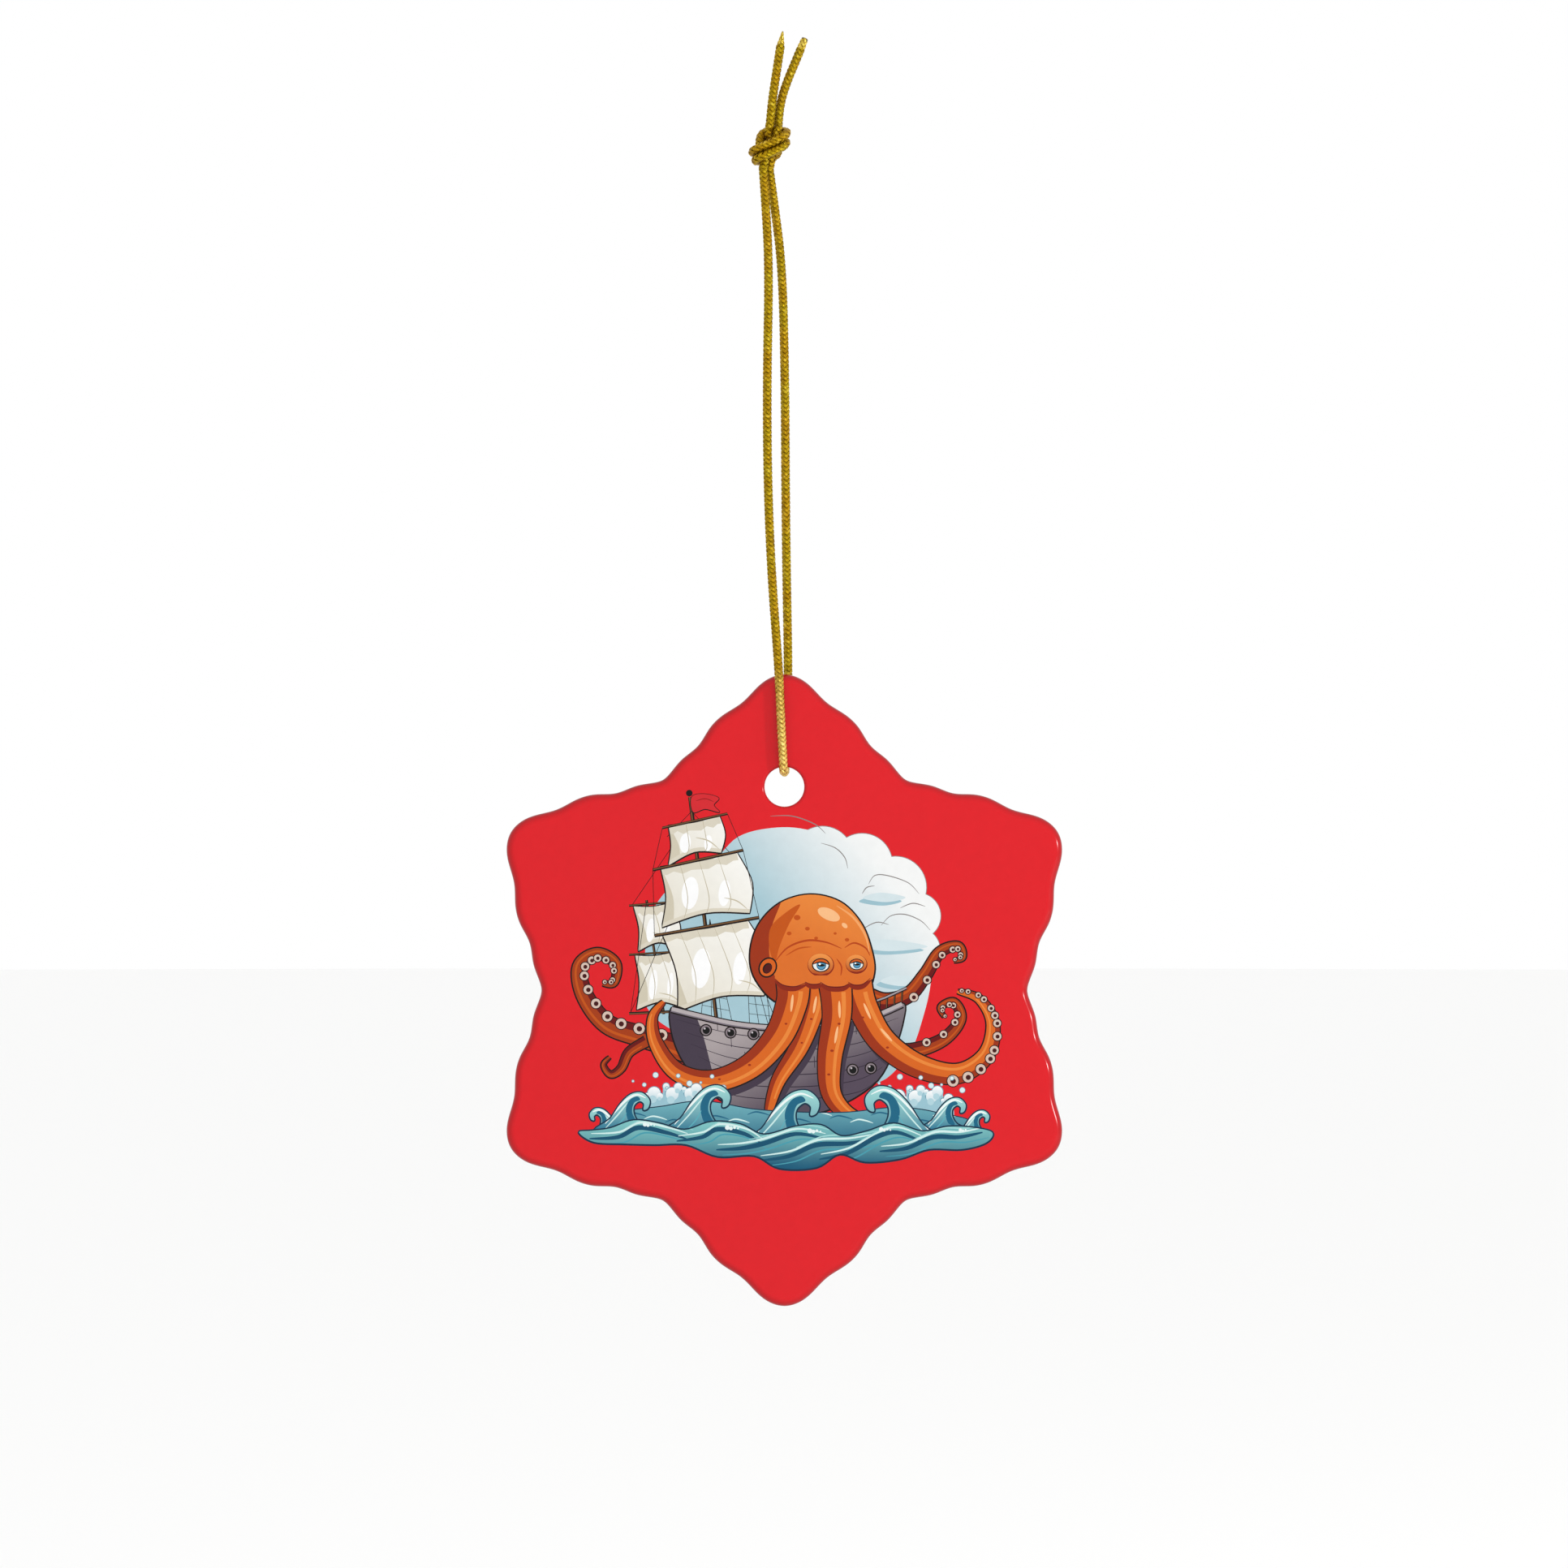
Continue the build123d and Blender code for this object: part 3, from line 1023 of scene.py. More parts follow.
def paint_sail(art, corners, belly, seams):
    """A square sail: corners from top left, clockwise. belly is how far it swells to the right."""
    head_left, head_right, foot_right, foot_left = corners
    (ul, vl), (ur, vr), (wr, xr), (wl, xl) = corners
    head = smooth([head_left, middle(head_left, head_right, dv=-0.25), head_right], steps=5)
    right = smooth([head_right, middle(head_right, foot_right, du=belly), foot_right])
    foot = smooth([foot_right, middle(foot_right, foot_left, dv=0.9), foot_left])
    left = smooth([foot_left, middle(foot_left, head_left, du=belly * 0.55), head_left])
    cloth = head[:-1] + right[:-1] + foot[:-1] + left[:-1]
    art.outlined(cloth, (SAIL_LIGHT, SAIL_CREAM, head_right, foot_left), LINE, by=0.17, drop=0.04)
    # Shade down the windward edge and along the foot, then a few seams that follow the swell.
    waist = (ul + 1.0 + belly * 0.5, (vl + xl) / 2)
    art.paint(left + smooth([head_left, waist, (wl + 1.4, xl + 0.3)], steps=5), SAIL_DARK, cloth)
    art.paint(ribbon(foot, 0.55, shift=-0.2), "#DDD6C4", cloth)
    # The cloth is greyer where it is gathered under its yard, and bright where it swells.
    gathers = ribbon(moved(head, 0, -0.15), lambda share: 1.1 + 0.45 * math.sin(share * 25), shift=-0.3)
    art.paint(gathers, "#DCD5C3", cloth)
    glow_u, glow_v = (ul + ur + wr + wl) / 4 + belly * 0.9, (vl + vr + xr + xl) / 4 - 0.4
    wide, tall = (ur - ul) * 0.11, vr - xr
    art.disc(WHITE, glow_u - wide * 2.4, glow_v, wide, tall * 0.27, turn=-6, within=cloth)
    art.disc(WHITE, glow_u + wide * 1.7, glow_v, wide * 0.7, tall * 0.22, turn=-6, within=cloth)
    for seam in range(1, seams + 1):
        share = seam / (seams + 1)
        top = (ul + (ur - ul) * share, vl + (vr - vl) * share)
        swell = belly * (0.55 + 0.45 * share)
        waist = ((ul + wl) / 2 + (ur + wr - ul - wl) / 2 * share + swell, (vl + xl) / 2)
        tail = (wl + (wr - wl) * share, xl + (xr - xl) * share + 0.6)
        art.stroke([top, waist, tail], 0.09, "#B9AE92", cloth, steps=5)
    # A billow's crease from the lower right corner.
    art.stroke([(wr - 0.3, xr + 0.5), (wr - 1.6, xr + 1.5), (wr - 3.2, xr + 1.9)], 0.16, "#C9BFA6", cloth)


def paint_rope(art, start, end, width=0.075):
    art.paint(ribbon([start, middle(start, end), end], width), LINE)


def paint_spar(art, start, end, width):
    """A yard or mast: a dark pole with a warm light along it."""
    paint_rope(art, start, end, width)
    art.paint(ribbon([start, middle(start, end), end], width * 0.35, shift=width * 0.12), "#7B5A3C")


def paint_shrouds(art, foot_left, foot_right, head, rungs):
    """A ladder of ropes that narrows upwards from the ship's side to the mast."""
    for side in range(4):
        paint_rope(art, along_edge(foot_left, foot_right, side / 3), head)
    for rung in range(1, rungs):
        share = rung / rungs
        paint_rope(art, along_edge(foot_left, head, share), along_edge(foot_right, head, share), 0.06)


HULL_TOP = [
    (-14.2, -2.2), (-11, -3), (-6, -4.1), (0, -4.6), (6, -4.3), (11, -3.2), (14.8, -1.6),
]


def hull_side():
    """The outline of the ship's side."""
    return smooth([
        *HULL_TOP, (15, -3.6), (13.6, -8), (11, -12), (5, -15.2), (-2, -15.6),
        (-8, -13.8), (-12, -10), (-14, -6),
    ], closed=True, steps=5)


def paint_hull(art):
    """The ship's side, planked, with portholes and a stern rail."""
    side = hull_side()
    art.outlined(side, ("#AFA5A6", "#5A4F5D", (-4, -4), (1, -14)), LINE, by=0.2)
    # The bow's shaded face and the planks that run aft from it.
    bow = [(-14.6, -2), (-11.4, -2.9), (-9.4, -9), (-8.6, -14.2), (-12, -12), (-15, -6)]
    art.blob(bow, "#4C4350", side)
    for plank in range(6):
        fore, aft = (-13.6 + plank * 0.9, -2.4), (14.4 - plank * 0.5, -2.2)
        seam = [fore, (-6, -4.3), (2, -4.7), (9, -3.9), aft]
        drop = 1.25 + 1.55 * plank
        art.stroke(moved(seam, 0, -drop), 0.12, SEAM, side)
    for butt in range(14):
        u = -8.5 + 1.75 * butt
        v = -4.6 - 1.55 * (butt % 5) + 0.02 * (u - 1) ** 2
        art.paint(ribbon([(u, v - 0.75), (u + 0.05, v - 1.5), (u + 0.08, v - 2.2)], 0.08), SEAM, side)
    wale = smooth(HULL_TOP)
    for width, shift, ink in [(0.95, -0.2, LINE), (0.62, -0.18, "#B9B0B2"), (0.16, -0.42, "#7F7680")]:
        art.paint(ribbon(wale, width, shift), ink)
    for u, v in [(-6.8, -5.3), (-3.9, -5.5), (8.6, -10), (10.9, -9.8), (-9.9, -5), (3.2, -6.2)]:
        art.disc(LINE, u, v, 0.78)
        art.disc("#8E8288", u, v, 0.62)
        art.disc("#17121A", u + 0.04, v - 0.04, 0.46)
        art.disc("#C9C2C6", u - 0.16, v + 0.2, 0.12)
    for post in range(5):
        u, rise = 11.0 + post * 0.95, post * 0.42
        paint_spar(art, (u, -3.0 + rise), (u + 0.1, -1.4 + rise), 0.26)
    rail = [(10.6, -1.7), (12.8, -0.9), (15.4, 0.3)]
    art.paint(ribbon(rail, 0.42), LINE)
    art.paint(ribbon(rail, 0.2, shift=0.03), "#A59CA2")


def paint_ship(art):
    """A plain two-masted ship under square sails."""
    # Where the bowsprit ends, the near mast's head, and the ends of its three yards.
    bow = (-19.4, -2.8)
    head = (-11.7, 22.6)
    yards = [((-15.4, 20.5), (-7.2, 22.3)), ((-16.6, 15.2), (-5.2, 17.7)), ((-16.4, 6.9), (-3.2, 9.2))]
    # The far mast, its sails and yards, then the shrouds, the bowsprit and the stays.
    paint_spar(art, (-15.2, -3), (-17.4, 11.4), 0.34)
    paint_rope(art, (-19.2, 10.8), (-13.6, 19))
    paint_sail(art, [(-19, 10.6), (-14.4, 11), (-13.4, 5.4), (-18.4, 5)], 0.7, 1)
    paint_sail(art, [(-18.8, 4.4), (-14, 4.8), (-12.6, -2.2), (-18.6, -2.4)], 0.8, 2)
    paint_spar(art, (-19.6, 10.7), (-13.6, 11.2), 0.3)
    paint_spar(art, (-19.6, 4.5), (-13.4, 4.9), 0.3)
    paint_shrouds(art, (-10.5, -3.2), (-6.6, -4), (-9.4, 9), 9)
    paint_shrouds(art, (-4.4, -4.2), (-0.8, -4.6), (-4.8, 6), 8)
    paint_spar(art, (-12.8, -2.6), (-19.6, -2.9), 0.36)
    paint_rope(art, bow, (-17.4, 11.2))
    paint_rope(art, bow, (-11.2, 16.4))
    # The near mast, from the deck to its pennant.
    paint_spar(art, (-8.6, -3.4), (-11.9, 24.4), 0.5)
    paint_rope(art, head, (-5.8, 16.2))
    paint_rope(art, head, (-14.8, 19.4))
    paint_sail(art, [(-14.6, 20.8), (-8.2, 22), (-8, 17.4), (-14.6, 15.8)], 0.6, 2)
    paint_sail(art, [(-15.6, 15.6), (-6, 17.4), (-4.4, 9.8), (-15.4, 8)], 1.1, 3)
    paint_sail(art, [(-15.4, 7.2), (-4.6, 8.8), (-2.6, -0.6), (-13.4, -2.6)], 1.5, 4)
    for (left, right), width in zip(yards, (0.34, 0.4, 0.44)):
        paint_spar(art, left, right, width)
    (top_left, top_right), (mid_left, mid_right), (low_left, low_right) = yards
    for start, end in [
        (top_left, mid_left), (top_right, mid_right), (mid_left, low_left), (mid_right, low_right),
        (low_right, (-1.8, -4.4)),
    ]:
        paint_rope(art, start, end)
    art.disc(LINE, -12.0, 24.9, 0.42)
    flag = smooth([
        (-11.7, 24.4), (-10.2, 24.8), (-8.3, 24.3), (-8.9, 23.4), (-8.2, 22.5), (-10, 22.9), (-11.5, 22.5),
    ], closed=True)
    art.outlined(flag, "#D8343A", LINE, by=0.1)
    art.stroke([(-11.2, 23.9), (-10, 24.2), (-8.9, 23.8)], 0.1, "#8E1A20")


def taper(widest, finest):
    """Width along an arm, from its root to its tip."""
    return lambda share: finest + (widest - finest) * (1 - share) ** 0.8


def paint_arm(art, points, widest, finest, inks, suckers=0, side=-1, first=0.35):
    """A tapering arm: dark line, body colour, a shaded side, a light side and a row of suckers.

    side says which side of the line is shaded, and first where along it the suckers start.
    """
    light, body, dark = inks
    line = smooth(points, steps=8)
    width = taper(widest, finest)

    def share_of_width(part):
        return lambda share: part * width(share)

    art.paint(ribbon(line, lambda share: width(share) + 0.34, shift=-0.02 * side), LINE)
    art.paint(ribbon(line, width), body)
    art.paint(ribbon(line, share_of_width(0.34), share_of_width(side * 0.33)), dark)
    art.paint(ribbon(line, share_of_width(0.14), share_of_width(side * -0.24), start=0.06, end=0.9), light)
    turned = normals(line)
    for cup in range(suckers):
        share = first + (0.97 - first) * (cup / (suckers - 1)) ** 0.9
        index = round(share * (len(line) - 1))
        (u, v), (nu, nv) = line[index], turned[index]
        off = side * width(share) * 0.34
        u, v = u + nu * off, v + nv * off
        size = width(share) * 0.24 + 0.1
        art.disc("#3A1410", u, v, size + 0.12, sides=14)
        art.disc("#D9C2B4", u, v, size, sides=14)
        art.disc("#4A1C16", u + 0.03, v - 0.03, size * 0.5, sides=10)


def paint_far_arms(art):
    """The arms that reach round behind the ship."""
    inks = (BACK_LIGHT, BACK, BACK_DARK)
    for points, widest, finest, suckers, side, first in [
        ([(-9, -9), (-13.5, -7.2), (-18, -5.8), (-22.4, -4.2), (-25.2, -0.6), (-25.8, 3),
          (-23.6, 4.6), (-21.3, 3.4), (-21.5, 1), (-23, 0.9)], 3.0, 0.45, 17, -1, 0.1),
        ([(-17.4, -6.4), (-19.6, -7.8), (-20.6, -9.8), (-21.9, -10.6), (-22.8, -9.4), (-22, -8.4)],
         1.3, 0.32, 0, -1, 0.0),
        ([(9, 0), (12.4, -1.4), (15.6, -0.6), (17.8, 2), (19.6, 4.8), (21.9, 5.6), (22.5, 4.2),
          (21.3, 3.7)], 2.3, 0.32, 9, -1, 0.3),
        ([(12, -7.4), (16, -7.6), (20, -6.2), (22.2, -3.6), (21.4, -1.5), (19.7, -2.1),
          (20.2, -3.4)], 2.0, 0.3, 9, 1, 0.25),
    ]:
        paint_arm(art, points, widest, finest, inks, suckers, side, first)


def paint_eye(art, u, v, size):
    """A calm eye on a raised bump of skin, half under its lid, with a slit of a pupil."""
    bump = ("#F39A50", "#B24A1C", (u, v + size * 1.4), (u, v - size * 1.5))
    art.disc(FOLD, u, v, size * 1.72, size * 1.5, sides=32)
    art.disc(bump, u - 0.04, v + 0.08, size * 1.62, size * 1.4, sides=32)
    art.disc(LINE, u, v, size * 1.16, size * 0.9, sides=28)
    eye = disc(u, v, size, size * 0.76, sides=28)
    art.paint(eye, "#EEF2F0")
    art.disc("#2C6288", u + 0.06, v - 0.04, size * 0.62, within=eye)
    art.disc("#5B9CC0", u + 0.06, v - 0.04, size * 0.5, within=eye)
    art.disc("#10161E", u + 0.06, v - 0.02, size * 0.46, size * 0.17, within=eye)
    art.disc(WHITE, u - 0.14, v + 0.14, size * 0.14, within=eye)

    def placed(points):
        return [(u + size * a, v + size * b) for a, b in points]

    lid = [(-1.2, 0.12), (-0.4, 0.36), (0.5, 0.34), (1.2, 0.06), (1.2, 1.2), (-1.2, 1.2)]
    art.blob(placed(lid), "#D8622A", eye)
    art.stroke(placed([(-1.05, 0.1), (0, 0.4), (1.05, 0.06)]), 0.16, LINE)
    art.stroke(placed([(-1, -1.05), (0, -1.28), (1, -1)]), 0.14, FOLD)


def paint_mantle(art):
    """The octopus's rounded body, smooth but for a few folds, with two calm eyes."""
    body = smooth([
        (-3.6, 1.4), (-4.3, 4.6), (-3.3, 8.2), (-0.6, 11), (3.2, 12.1), (7, 11.2), (9.6, 8.6),
        (10.9, 5.4), (11.3, 2.2), (9.8, -0.6), (5, -2), (-0.6, -1.6),
    ], closed=True)
    art.outlined(body, (ORANGE_LIGHT, SKIN, (6, 11), (3.5, 4)), LINE, by=0.22)
    shade = [
        (-4.6, 0), (-4.6, 5), (-3.4, 9), (-0.4, 11.6), (-1.6, 8), (-1.9, 4.4), (-0.8, 1),
        (1.4, -1), (-1, -2.6),
    ]
    art.blob(shade, ORANGE_DARK, body)
    half_shade = [(-1.7, 8), (0.4, 10), (2, 10.8), (0.6, 8.4), (-0.6, 5.6), (-1.2, 3.6), (-1.9, 5.4)]
    art.blob(half_shade, "#C65A22", body)
    art.disc(GLINT, 5.6, 9.6, 1.5, 0.72, turn=-24)
    art.disc(GLINT, 7.6, 8.2, 0.42, 0.26, turn=-40)
    for u, v, size in [
        (1.6, 9.2, 0.42), (2.9, 7.8, 0.3), (0.6, 7.2, 0.3), (4, 6.6, 0.24), (7.9, 6.4, 0.28),
        (6.4, 7.2, 0.2),
    ]:
        art.disc(SPOT, u, v, size, size * 0.8)
    # Wrinkles over the brow, and light that comes back off the sky on the right.
    for wrinkle, width, ink in [
        ([(-1.2, 3.6), (0.4, 5.4), (2.8, 6.3), (5.2, 6.1), (7.2, 5.3)], 0.26, WRINKLE),
        ([(0.2, 4.4), (1.8, 5.3), (3.4, 5.5)], 0.2, SPOT),
        ([(7.6, 5.4), (8.8, 6), (10.2, 5.4), (10.8, 4.4)], 0.22, WRINKLE),
        ([(6.6, 4), (7.2, 3), (7.1, 1.8)], 0.2, WRINKLE),
    ]:
        art.stroke(wrinkle, width, ink)
    art.stroke([(10.7, 4.9), (10.2, 7), (8.7, 9.2), (6.6, 10.7)], 0.3, "#F6A869", body)
    paint_eye(art, 4.6, 3.2, 0.98)
    paint_eye(art, 9.1, 3.3, 0.8)
    # The breathing tube at the side of the body.
    for u, v, wide, tall, ink in [
        (-2.1, 2.9, 1.35, 1.15, LINE), (-2.1, 2.9, 1.15, 0.95, "#D9662A"),
        (-2.15, 2.8, 0.72, 0.56, LINE), (-2.1, 2.75, 0.6, 0.44, "#5A2010"),
    ]:
        art.disc(ink, u, v, wide, tall, turn=60)


def paint_near_arms(art):
    """The four arms in front of the ship's side, and the folds of skin that they hang from."""
    inks = (ORANGE_LIGHT, ORANGE, ORANGE_DARK)
    arms = [
        ([(3.9, 0.9), (3.6, -2.2), (1.9, -7), (-0.8, -11.4), (-2, -15.2)], 3.3, 0.9, 0),
        ([(1.1, 0.9), (0.9, -1.6), (-0.8, -5.8), (-4.4, -9.6), (-9.2, -11.4), (-13.6, -10.2),
          (-16.2, -6.6), (-16.6, -3.4), (-15.2, -1.4)], 4.2, 0.45, 0),
        ([(9, 0.9), (9.9, -2.2), (12.4, -6.4), (16.8, -9.5), (21.8, -10.5), (25.4, -8.2),
          (26.3, -4.2), (24.6, -1.1), (21.8, -0.1)], 4.0, 0.4, 13),
        ([(6.4, 0.9), (6.6, -3.2), (5.7, -8.6), (6, -13.2), (8.8, -16), (12.8, -16)], 4.1, 0.7, 0),
    ]
    side = hull_side()
    for points, widest, finest, _ in arms:
        cast = smooth(moved(points, 0.5, -0.9), steps=8)
        art.paint(ribbon(cast, taper(widest, finest)), "#4A404E", side)
    for points, widest, finest, suckers in arms:
        paint_arm(art, points, widest, finest, inks, suckers, first=0.48)
    # Skin that folds down over the arms' roots, under the eyes.
    for fold in [
        [(-1.2, 1.5), (-0.2, 0.7), (1.4, 0.5), (2.9, 1.1)],
        [(2.6, 1.1), (3.3, 0.8), (4.2, 0.8), (4.9, 1.1)],
        [(4.5, 1.1), (5.6, 0.5), (7.4, 0.5), (8.4, 1.1)],
        [(8, 1.1), (8.8, 0.7), (9.9, 0.8), (10.9, 1.6)],
    ]:
        art.stroke(moved(fold, 0, -0.3), 0.6, FOLD)
        art.paint(smooth(fold) + [(fold[-1][0], 1.9), (fold[0][0], 1.9)], SKIN)
        art.stroke(fold, 0.14, "#6B2410")
    # Glints along the arms, then their spots.
    for u, v, turn in [
        (0.7, -1.6, 84), (3.6, -1.8, 80), (6.7, -2.4, 92), (6.3, -5.6, 80), (10.2, -2.6, -66),
        (12.6, -5.6, -48),
    ]:
        art.disc(GLINT, u + 0.25, v, 1.1, 0.17, turn=turn)
    for u, v, size in [
        (3.4, -3.6, 0.18), (6.9, -4.2, 0.2), (6, -7.6, 0.22), (0.2, -4.2, 0.18), (9.9, -3.4, 0.18),
        (13, -7.2, 0.2), (-4.4, -9.4, 0.2), (-8.2, -11.2, 0.18), (5.6, -10.6, 0.2), (2.2, -6.6, 0.16),
    ]:
        art.disc(ORANGE_DARK, u, v, size, size * 0.7)


def paint_crest(art, u, v, size, flip):
    """A breaking wave's crest: its curl, shaded hollow, and foam along its back and lip."""
    def placed(points):
        return [(u + flip * size * a, v + size * b) for a, b in points]

    curl = smooth(placed([
        (-2.3, -1.5), (-1.4, -0.7), (-0.75, 0.25), (-0.1, 0.85), (0.6, 0.95), (1.08, 0.5), (1, 0),
        (0.72, -0.12), (0.74, 0.25), (0.45, 0.42), (0.1, 0.1), (0.12, -0.45), (0.5, -1), (1.4, -1.5),
    ]), closed=True, steps=5)
    art.outlined(curl, ("#A6DEDA", "#2F7896", (u, v + size), (u, v - size * 1.4)), SEA_LINE, by=0.2)
    hollow = [
        (0.5, 0.5), (0.12, 0.3), (0, -0.3), (0.3, -1), (-0.2, -0.9), (-0.4, -0.1), (-0.15, 0.5),
        (0.3, 0.72),
    ]
    art.blob(placed(hollow), "#2B6A87", curl)
    for foam, width, ink in [
        ([(-1.7, -1), (-0.95, -0.1), (-0.3, 0.55), (0.3, 0.82), (0.85, 0.62)], 0.3, "#F1FAF8"),
        ([(-1.7, -1.3), (-1, -0.55), (-0.55, 0), (-0.3, 0.3)], 0.2, "#CDEDEA"),
        ([(-1.1, -1.3), (-0.6, -0.75), (-0.35, -0.3)], 0.16, "#5FAFBC"),
    ]:
        art.stroke(placed(foam), width, ink, curl)


def paint_foam(art, u, v, wide, tall):
    """A heap of spray: rounded clumps, palest at the top, with loose drops above."""
    clumps = []
    for clump in range(11):
        share = clump / 10
        rise = tall * (0.35 + 0.65 * math.sin(math.pi * share)) * (0.8 + 0.35 * math.sin(clump * 2.6))
        clumps.append((u + wide * (share - 0.5), v + rise, 0.55 + 0.28 * math.sin(clump * 1.9)))
    for cu, cv, radius in clumps:
        foot = radius * 1.3
        skirt = [(cu - radius, cv), (cu + radius, cv), (cu + foot, v - tall), (cu - foot, v - tall)]
        art.disc(SPRAY_LINE, cu, cv, radius + 0.1, sides=16)
        art.paint(skirt, "#9CC5D2")
    for cu, cv, radius in clumps:
        lit = (WHITE, "#A9CFDA", (cu, cv + radius), (cu, cv - radius * 1.6))
        art.disc(lit, cu, cv, radius, sides=16)
        art.disc("#B4D6DF", cu - radius * 0.2, cv - radius * 0.9, radius * 0.6, sides=12)
    for drop in range(9):
        at = (u + wide * (drop / 8 - 0.5) * 1.5, v + tall * (1.35 + 0.45 * math.sin(drop * 3.7)))
        size = 0.13 + 0.1 * (drop % 3)
        art.disc(SPRAY_LINE, *at, size + 0.07, sides=12)
        art.disc("#DDF0F2", *at, size, sides=12)


def paint_waves(art):
    """Layered waves along the foot of the picture, each crest with foam and shade."""
    paint_foam(art, -13.4, -14.0, 7.6, 1.9)
    paint_foam(art, 17.2, -14.4, 7.0, 2.0)
    far = smooth([
        (-20.5, -16), (-15, -14.6), (-10, -14), (-4, -15), (2, -15.4), (8, -15.4),
        (14, -14.8), (19, -15.4), (22.5, -17), (0, -19.5),
    ], closed=True)
    art.outlined(far, ("#78B8C2", "#2F6A86", (0, -13.6), (0, -19)), SEA_LINE)
    for ripple in range(16):
        u, v = -19.0 + 2.6 * ripple, -15.5 - 0.45 * (ripple % 3) - 0.02 * abs(ripple - 7)
        line = [(u - 1.3, v - 0.15), (u - 0.3, v + 0.2), (u + 0.7, v + 0.05), (u + 1.6, v - 0.25)]
        art.stroke(line, 0.2, SEA_FOAM if ripple % 2 else "#2F6A86", far)
    for crest in [
        (-23, -16.2, 1.4, -1), (-19.2, -14.8, 2, 1), (24.4, -16.4, 1.3, 1), (21, -15.2, 1.7, 1),
        (-9.6, -14.4, 2.5, 1), (13.4, -14.9, 2.9, -1), (1.2, -15.4, 2.9, 1),
    ]:
        paint_crest(art, *crest)
    near = smooth([
        (-25.9, -17.9), (-24.4, -17.7), (-22, -17.4), (-19, -16.4), (-15.8, -16.8), (-12.6, -17.6),
        (-9.2, -16.6), (-5.6, -16.9), (-2.6, -18.2), (1.4, -17.2), (4.6, -17), (7.2, -18.4),
        (10.4, -17.8), (13.8, -16.8), (17.4, -17.8), (20.6, -17.2), (23.6, -17.3), (26.2, -17.9),
        (25.4, -19.2), (22.4, -20), (18.2, -20), (14.6, -21.2), (10.2, -21.6), (7, -20.6),
        (4, -22.3), (-0.6, -22.4), (-3.8, -20.8), (-8.4, -20.9), (-12.4, -19.4), (-16.4, -19.4),
        (-20.2, -19.3), (-24, -19.1),
    ], closed=True)
    art.outlined(near, ("#86CBCA", "#255D7B", (0, -16.4), (0, -22)), SEA_LINE, by=0.22)
    for swell in [
        [(-24.6, -18.6), (-21, -18.4), (-18.4, -17.2), (-15, -17.8), (-12.4, -18.6)],
        [(-13.6, -18.9), (-10.4, -18.4), (-8.4, -17.4), (-5, -18), (-2.8, -19.4)],
        [(-8.6, -20), (-5.4, -19.8), (-2.6, -19.2), (1.4, -18), (5, -18.6)],
        [(-3.2, -21.4), (0.6, -20.8), (4, -19.4), (8, -19.2), (11.4, -18.6)],
        [(4.4, -21.2), (8, -20.4), (11.6, -18.4), (14.2, -17.8), (17.4, -19)],
        [(12, -20.2), (15.4, -19.8), (18.8, -18.4), (22, -18.4), (25, -17.8)],
    ]:
        art.stroke(moved(swell, 0, -0.1), 0.62, "#1F5672", near)
        art.stroke(moved(swell, 0.2, 0.55), 0.3, SEA_FOAM, near)
        art.stroke(moved(swell[1:], 0.9, 1.0), 0.18, "#A5DAD8", near)
        art.stroke(moved(swell, 0.8, -0.75), 0.2, "#4E9FB0", near)
    for u, v, size in [
        (-17.6, -16.9, 0.26), (-7.2, -17.3, 0.3), (3.2, -17.7, 0.3), (12.2, -17.5, 0.26),
        (22.2, -17.6, 0.22),
    ]:
        for bubble in range(4):
            radius = size * (1 - 0.2 * bubble)
            art.disc("#EAF7F6", u + bubble * size * 1.5, v - 0.1 * (bubble % 2), radius, sides=12)


def picture():
    """The whole printed picture: cloud, far arms, ship, octopus, waves."""
    art = Picture()
    paint_sky(art)
    paint_far_arms(art)
    paint_ship(art)
    paint_hull(art)
    paint_mantle(art)
    paint_near_arms(art)
    paint_waves(art)
    return art


# ======== Assembly ========

def onward(line):
    """A point a little way along a line, then its start, to lead the knot's strand onto it."""
    return np.array([line[0] + unit(line[1] - line[0]) * KNOT_OVERLAP, line[0]])


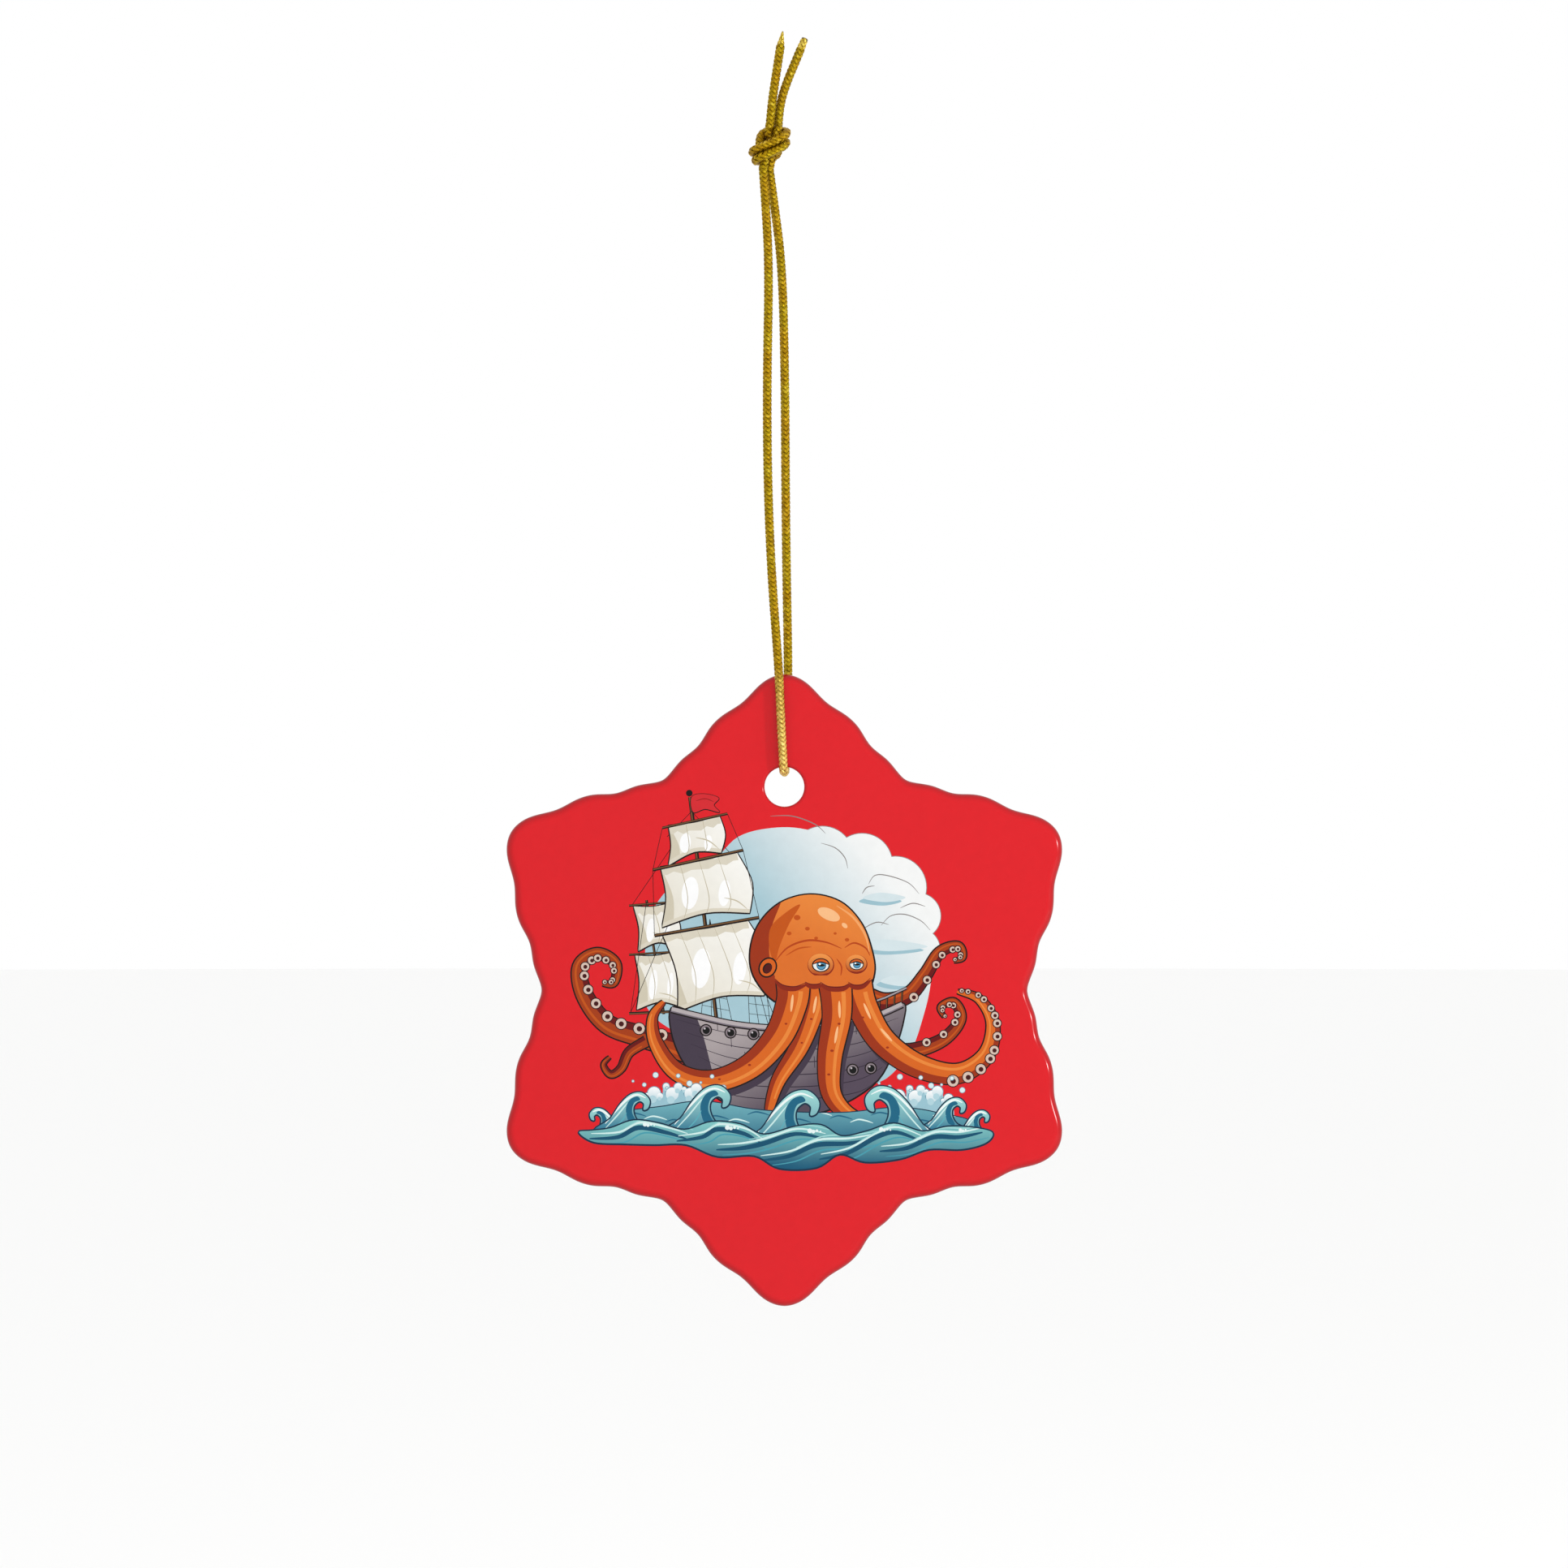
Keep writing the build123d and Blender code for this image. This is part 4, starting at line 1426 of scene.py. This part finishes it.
def make_cord(gold, core, sealed, fused):
    """The loop, the knot and the two tails, their braid carried on from piece to piece."""
    loop_line = centre_line("loop_route", LOOP_ROUTE)
    tail_lines = [
        centre_line("left_tail_route", LEFT_TAIL_ROUTE),
        centre_line("right_tail_route", RIGHT_TAIL_ROUTE),
    ]
    loop_parts = MeshParts()
    braid(loop_parts, loop_line)
    loop = loop_parts.make("cord_loop", [gold, core])

    feet = [onward(loop_line), onward(loop_line[::-1])]
    heads = [onward(line)[::-1] for line in tail_lines]
    knot_parts = MeshParts()
    phases = [braid(knot_parts, strand) for strand in tie_knot(feet, heads)]
    knot = knot_parts.make("knot", [gold, core])

    tails = []
    for name, line, phase, (tip_length, tip_share) in zip(
        ("tail_left", "tail_right"), tail_lines, phases, (LEFT_TIP, RIGHT_TIP)
    ):
        total = lengths_along(line)[-1]

        def thickness(place):
            return min(1.0, tip_share + (1 - tip_share) * (total - place) / tip_length)

        parts = MeshParts()
        braid(parts, line, phase, thickness, fused=FUSED_GLINT_SHARE * tip_length)
        seal_end(parts, line, tip_share)
        tails.append(parts.make(name, [gold, core, sealed, fused]))
    return loop, loop_line, knot, tails


def seal_end(parts, line, scale):
    """A small fused dome over the cut end."""
    ahead = unit(line[-1] - line[-2])
    side, depth = (vectors[-1] for vectors in frames(line, FIRST_SIDE))
    radius, forward = (np.array(values)[:, None] * scale for values in zip(*DOME))
    rings = rings_round(line[-1] + ahead * forward, side * radius, depth * radius, DOME_SIDES)
    parts.tube(rings, np.linspace(0.0, 0.4, len(DOME)), slot=SEALED_SLOT)


make_camera()
make_light()
make_floor()
loop, loop_line, knot, tails = make_cord(gold_yarn(), shaded_core(), sealed_end(), fused_glint_yarn())
ceramic = make_shell(
    "ceramic_body",
    white_glaze(),
    ceramic_side(FRONT_EDGE_RADIUS, BACK_EDGE_RADIUS),
    ceramic_side(HOLE_EDGE_RADIUS, HOLE_EDGE_RADIUS),
)
art = picture()
coat = make_shell(
    "printed_coat",
    glossy_print(),
    coat_side(FRONT_EDGE_RADIUS),
    coat_side(HOLE_EDGE_RADIUS),
    drawn=[shape for shape, _, _ in art.layers],
)
ink_faces(coat, art)

for piece, slot_name, nodes in (
    (loop, "gold_cord", ("cord_front_strand", "cord_hole_bend", "cord_back_strand")),
    (knot, "gold_cord", ("cord_knot",)),
    (tails[0], "gold_cord", ("cord_tail_left",)),
    (tails[1], "gold_cord", ("cord_tail_right",)),
    (ceramic, "white_ceramic", ("ceramic_plaque",)),
    (coat, "printed_face", ("print_coat",)),
):
    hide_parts(*nodes)

for piece in (knot, *tails):
    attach(piece, "hanger")
for piece in (ceramic, coat):
    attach(piece, "plaque")
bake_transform(loop)
[mm(*point) for point in loop_line]
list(tails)
